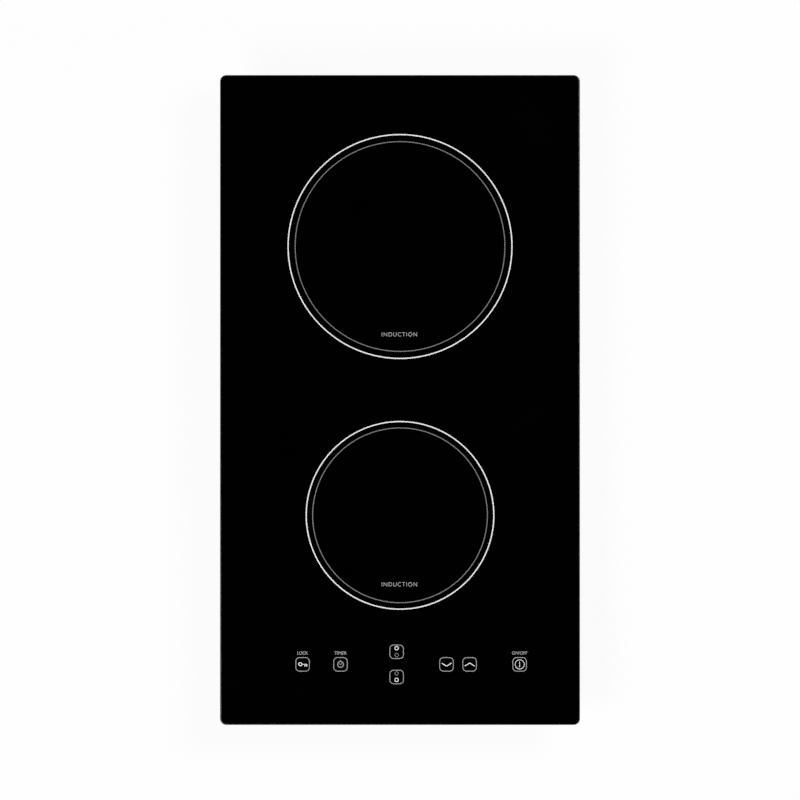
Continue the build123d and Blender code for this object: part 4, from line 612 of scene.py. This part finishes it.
def word(text, x, y, width, letters, levels):
    """A word in the built-in face as a shape: its letters stretched to a width and a height about x, y."""
    height, spacing, outset = letters
    curve = bpy.data.curves.new(text, "FONT")
    curve.body = text
    curve.space_character = spacing
    curve.extrude = WORD_EXTRUSION
    curve.offset = outset
    holder = put(text, curve)
    bpy.context.view_layer.update()
    mesh = bpy.data.meshes.new_from_object(holder.evaluated_get(bpy.context.evaluated_depsgraph_get()))
    bpy.data.objects.remove(holder)
    bpy.data.curves.remove(curve)
    points = np.empty(len(mesh.vertices) * 3)
    mesh.vertices.foreach_get("co", points)
    points = points.reshape(-1, 3)
    low, high = points.min(axis=0), points.max(axis=0)
    size = np.array([width, height, levels[1] - levels[0]])
    points = (points - (low + high) / 2) / (high - low) * size + np.array([x, y, sum(levels) / 2])
    blocks = [(np.array([face.vertices[:]]), 0) for face in mesh.polygons]
    bpy.data.meshes.remove(mesh)
    return points, blocks


def printed_words(zones, places, finish, levels):
    """What the zones are, and what three of the keys do, in plain capitals."""
    shapes = []
    for (x, y), drop in zip(zones, (REAR_WORD_DROP, FRONT_WORD_DROP)):
        shapes.append(word(ZONE_WORD, x + ZONE_WORD_SHIFT, y - drop, ZONE_WORD_WIDTH, ZONE_LETTERS, levels))
    for key, (text, width) in KEY_WORDS.items():
        x, y = places[key]
        shapes.append(word(text, x, y + KEY_WORD_RISE, width, KEY_LETTERS, levels))
    make_piece("printed_words", joined(shapes), [finish])


def foam_seal(finishes):
    """The seal: a flat strip with rounded sides, carried round the rim under the glass."""
    low, high = box_of("worktop_gasket")
    side = SEAL_ROUND * directions(np.linspace(0, np.pi / 2, SEAL_STEPS))
    half, middle = SEAL_WIDTH / 2 - SEAL_ROUND, (low[2] + high[2]) / 2
    rise = (high[2] - low[2]) / 2 - SEAL_ROUND
    flips = ((1, 1, 1), (-1, 1, -1), (-1, -1, 1), (1, -1, -1))
    profile = np.vstack([(side[::order] + (half, rise)) * (sx, sy) for sx, sy, order in flips])
    profile = profile + (0, middle)
    width, depth = (high - low)[:2] - SEAL_WIDTH
    path, outward = rounded_path(0, 0, width, depth, SEAL_CORNER, CORNER_STEPS)
    faces = grid_faces(len(path), len(profile), ring_rows=True, ring_columns=True)
    strip = make_piece("foam_strip", (carried(path, outward, profile), [(faces, 0)]), [finishes["foam_seal"]],
                       ["worktop_gasket"], SEAL_SHARP)


def thread(low, high, radius, depth, pitch, columns):
    """Rows of a screw thread: the radius falls and rises once a pitch, and a turn shifts it by a pitch."""
    rows = int((high - low) / pitch * THREAD_ROWS) + 1
    level = np.linspace(low, high, rows)[:, None] + np.zeros(columns)
    phase = level / pitch - np.arange(columns) / columns
    return radius - depth * np.abs(2 * (phase % 1) - 1), level


def dome_screw():
    """A domed screw: rows over the dome, under the head and down the thread to its tip.

    The dome's height falls as the root of one minus a power of the radius, less the cross recess,
    which is deepest where a point is near one of two crossing lines and inside their length. The
    recess's sloped sides have their middle at its width and its length.
    """
    flat = np.ones((1, SCREW_COLUMNS))
    share = np.linspace(SCREW_CENTRE, 1, SCREW_ROWS)[:, None] * flat
    around = directions(np.linspace(0, 2 * np.pi, SCREW_COLUMNS, endpoint=False))
    across = np.abs(share[:, :, None] * SCREW_RADIUS * around)
    beside = np.clip((CROSS_WIDTH / 2 - across.min(axis=-1)) / CROSS_WALL + 0.5, 0, 1)
    along = np.clip((CROSS_LENGTH / 2 - across.max(axis=-1)) / CROSS_SLOPE + 0.5, 0, 1)
    crown = np.sqrt(np.clip(1 - share ** SCREW_CROWN, 0, 1))
    dome = SCREW_RIM + (SCREW_DOME - SCREW_RIM) * crown - CROSS_DEPTH * beside * along
    shank, level = thread(-SCREW_LENGTH, 0, SCREW_SHANK, SCREW_THREAD_DEPTH, SCREW_PITCH, SCREW_COLUMNS)
    radius = np.vstack([share * SCREW_RADIUS, SCREW_RADIUS * flat, SCREW_NECK * flat, shank[::-1],
                        SCREW_TIP * flat])
    height = np.vstack([dome, 0 * flat, 0 * flat, level[::-1], -SCREW_LENGTH * flat])
    return turned(radius, height)


def case_screws(finishes):
    """Ten screws: three along each side of the case and two along each end, heads outwards."""
    low, high = box_of("bottom_case")
    half_x, half_y = high[0], (high[1] - low[1]) / 2
    side_y, end_x = half_y - SCREW_FROM_END, half_x - SCREW_FROM_END
    screw = dome_screw()
    shapes = [faced(screw, (way, 0), (way * half_x, y, SCREW_LEVEL))
              for way in (-1, 1) for y in (-side_y, 0, side_y)]
    shapes += [faced(screw, (0, way), (x, way * half_y, SCREW_LEVEL))
               for way in (-1, 1) for x in (-end_x, end_x)]
    make_piece("domed_case_screws", joined(shapes), [finishes["zinc_plated_steel"]],
               ["case_screws"])


def clamp_screw(length):
    """A socket head screw: a hexagon socket, a ribbed head, and a thread up to a chamfered tip.

    The hexagon's radius is its corner radius times the cosine of half a sixth of a turn, over the
    cosine of the angle from the middle of a side.
    """
    flat = np.ones((1, CLAMP_COLUMNS))
    angle = np.linspace(0, 2 * np.pi, CLAMP_COLUMNS, endpoint=False) * flat
    half_side = np.pi / 6
    socket = SOCKET_RADIUS * np.cos(half_side) / np.cos(angle % (2 * half_side) - half_side)
    ribbed = CLAMP_HEAD_RADIUS - CLAMP_RIB * (np.arange(CLAMP_COLUMNS) % 2) * flat
    chamfered = (CLAMP_HEAD_RADIUS - CLAMP_CHAMFER) * flat
    shank, level = thread(CLAMP_HEAD_HEIGHT, length - CLAMP_TIP, CLAMP_SHANK, CLAMP_THREAD_DEPTH,
                          CLAMP_PITCH, CLAMP_COLUMNS)
    radius = np.vstack([SOCKET_CENTRE * flat, socket, socket, chamfered, ribbed, ribbed, chamfered, shank,
                        (CLAMP_SHANK - CLAMP_TIP) * flat])
    levels = [SOCKET_DEPTH, SOCKET_DEPTH, 0, 0, CLAMP_CHAMFER, CLAMP_HEAD_HEIGHT - CLAMP_CHAMFER,
              CLAMP_HEAD_HEIGHT]
    height = np.vstack([*[z * flat for z in levels], level, length * flat])
    return turned(radius, height)


def clamp_screws(finishes):
    """One long screw under each corner, on the axis of its nut."""
    low, high = box_of("clamp_screws")
    screw = clamp_screw(high[2] - low[2])
    shapes = []
    for end in ("rear", "front"):
        for side in ("left", "right"):
            corners = box_of("clamp_nut_" + end + "_" + side)
            x, y = ((corners[0] + corners[1]) / 2)[:2]
            shapes.append(moved(screw, (x, y, low[2])))
    make_piece("threaded_clamp_screws", joined(shapes), [finishes["zinc_plated_steel"]],
               ["clamp_screws"])


def cable_gland(finishes):
    """The gland: a turned section with a soft lip round the bore, a ribbed flange and a threaded neck."""
    low, high = box_of("cable_gland")
    flange, face = (high[0] - low[0]) / 2, high[1] - low[1] - GLAND_NECK_LENGTH
    flat = np.ones((1, GLAND_COLUMNS))
    section = [(GLAND_BORE + out, face - drop) for out, drop in GLAND_LIP]
    section += [(flange - inset, face - drop) for inset, drop in GLAND_RIM]
    ribbed = flange - GLAND_RIB * (np.arange(GLAND_COLUMNS) // GLAND_RIB_COLUMNS % 2) * flat
    neck, level = thread(-GLAND_NECK_LENGTH, -GLAND_NECK_RELIEF, GLAND_NECK, GLAND_THREAD_DEPTH,
                         GLAND_PITCH, GLAND_COLUMNS)
    radius = np.vstack([*[r * flat for r, _ in section], ribbed, ribbed, GLAND_NECK * flat, neck[::-1],
                        GLAND_BORE * flat, GLAND_BORE * flat])
    height = np.vstack([*[z * flat for _, z in section], (face - GLAND_RIM_DROP) * flat, 0 * flat, 0 * flat,
                        level[::-1], -GLAND_NECK_LENGTH * flat, section[0][1] * flat])
    points, blocks = turned(radius, height)
    middle = (low + high) / 2
    shape = faced((points, blocks[:1]), (0, 1), (middle[0], high[1] - face, middle[2]))
    make_piece("ribbed_gland", shape, [finishes["gland_plastic"]], ["cable_gland"])


# Camera, light and floor

def make_camera():
    """A long lens straight above the middle of the glass, with the rear of the object at the top."""
    data = bpy.data.cameras.new("camera")
    data.sensor_width = SENSOR
    data.lens = SENSOR * VIEW_DISTANCE / VIEW_WIDTH
    camera = put("camera", data)
    camera.location = (0, 0, (box_of("glass_plate")[1][2] + VIEW_DISTANCE) * MM)
    bpy.context.scene.camera = camera


def bare_tree(owner):
    """The emptied node tree of a material or a world."""
    owner.use_nodes = True
    owner.node_tree.nodes.clear()
    return owner.node_tree


def seen_directly(tree):
    """One for rays from the camera and for mirror and glass rays, else nought."""
    path = add(tree, "LightPath")
    first = add(tree, "Math", {0: path.outputs["Is Camera Ray"], 1: path.outputs["Is Glossy Ray"]},
                operation="MAXIMUM")
    both = add(tree, "Math", {0: first.outputs["Value"], 1: path.outputs["Is Transmission Ray"]},
               operation="MAXIMUM")
    return both.outputs["Value"]


def make_floor():
    """A white floor under the case; part of what is seen of it is plain white, the rest keeps the shadow."""
    level = box_of("bottom_case")[0][2]
    corners = np.array([(-1, -1), (1, -1), (1, 1), (-1, 1)]) * FLOOR_HALF
    points = np.column_stack([corners, np.full(4, level)]) * MM
    mesh = bpy.data.meshes.new("floor")
    mesh.from_pydata(points.tolist(), [], [(0, 1, 2, 3)])
    material = bpy.data.materials.new("white_paper_floor")
    tree = bare_tree(material)
    paper = add(tree, "BsdfDiffuse", {"Color": linear("#F6F6F6")})
    glow = add(tree, "Emission", {"Strength": 1.0})
    share = add(tree, "Math", {0: seen_directly(tree), 1: FLOOR_GLOW}, operation="MULTIPLY")
    mixed = add(tree, "MixShader", {0: share.outputs["Value"], 1: paper.outputs["BSDF"],
                                    2: glow.outputs["Emission"]})
    add(tree, "OutputMaterial", {"Surface": mixed.outputs["Shader"]})
    mesh.materials.append(material)
    floor = put("floor", mesh)


def make_sky():
    """A white room: white walls all round and a black flag overhead, which the glass mirrors from above."""
    world = bpy.data.worlds.new("studio")
    bpy.context.scene.world = world
    tree = bare_tree(world)
    way = add(tree, "TexCoord")
    height = add(tree, "SeparateXYZ", {0: way.outputs["Generated"]})
    wall = add(tree, "MapRange", {"Value": height.outputs["Z"], "From Min": FLAG_EDGE, "From Max": FLAG_FULL,
                                  "To Min": 1.0, "To Max": 0.0}, interpolation_type="SMOOTHSTEP")
    path = add(tree, "LightPath")
    strength = add(tree, "Math", {0: wall.outputs["Result"], 1: path.outputs["Is Camera Ray"]},
                   operation="MAXIMUM")
    light = add(tree, "Background", {"Color": linear("#FFFFFF"), "Strength": strength.outputs["Value"]})
    add(tree, "OutputWorld", {"Surface": light.outputs["Background"]})


def make_lamps():
    """Large soft lamps to two sides, turned towards the object."""
    for name, (place, size, power) in LAMPS.items():
        data = bpy.data.lights.new(name, "AREA")
        data.shape = "DISK"
        data.size = size * MM
        data.energy = power
        lamp = put(name, data)
        lamp.location = [value * MM for value in place]
        lamp.rotation_euler = (-lamp.location).to_track_quat("-Z", "Y").to_euler()


def make_object():
    """Dresses every CAD node, then makes the pieces that stand for some of them."""
    finishes = make_finishes()
    slots = {part["node"]: part["material_slot"] for part in frame["record"]["subparts"]}
    for node, thing in frame["nodes"].items():
        thing.data.materials.clear()
        thing.data.materials.append(finishes[slots[node]])
    bright = enamel("bright", ("#F0F0EF", "#FAFAF9"))
    faint = enamel("faint", ("#B0B0AF", "#C0C0BF"))
    grey = enamel("grey", ("#9C9C9B", "#ACACAB"))
    dim = enamel("dim", ("#787877", "#80807F"))
    zone_finishes = [finishes["enamel_print"], dim]
    levels = tuple(corner[2] for corner in box_of("key_print"))
    glass_plate(finishes)
    zones = [zone_lines("rear", REAR_FINE_RADIUS, zone_finishes, levels),
             zone_lines("front", FRONT_FINE_RADIUS, zone_finishes, levels)]
    places = key_print([grey, bright], levels)
    printed_words(zones, places, faint, levels)
    foam_seal(finishes)
    case_screws(finishes)
    clamp_screws(finishes)
    cable_gland(finishes)


bpy.context.scene.view_settings.view_transform = "Standard"
make_camera()
make_floor()
make_sky()
make_lamps()
make_object()
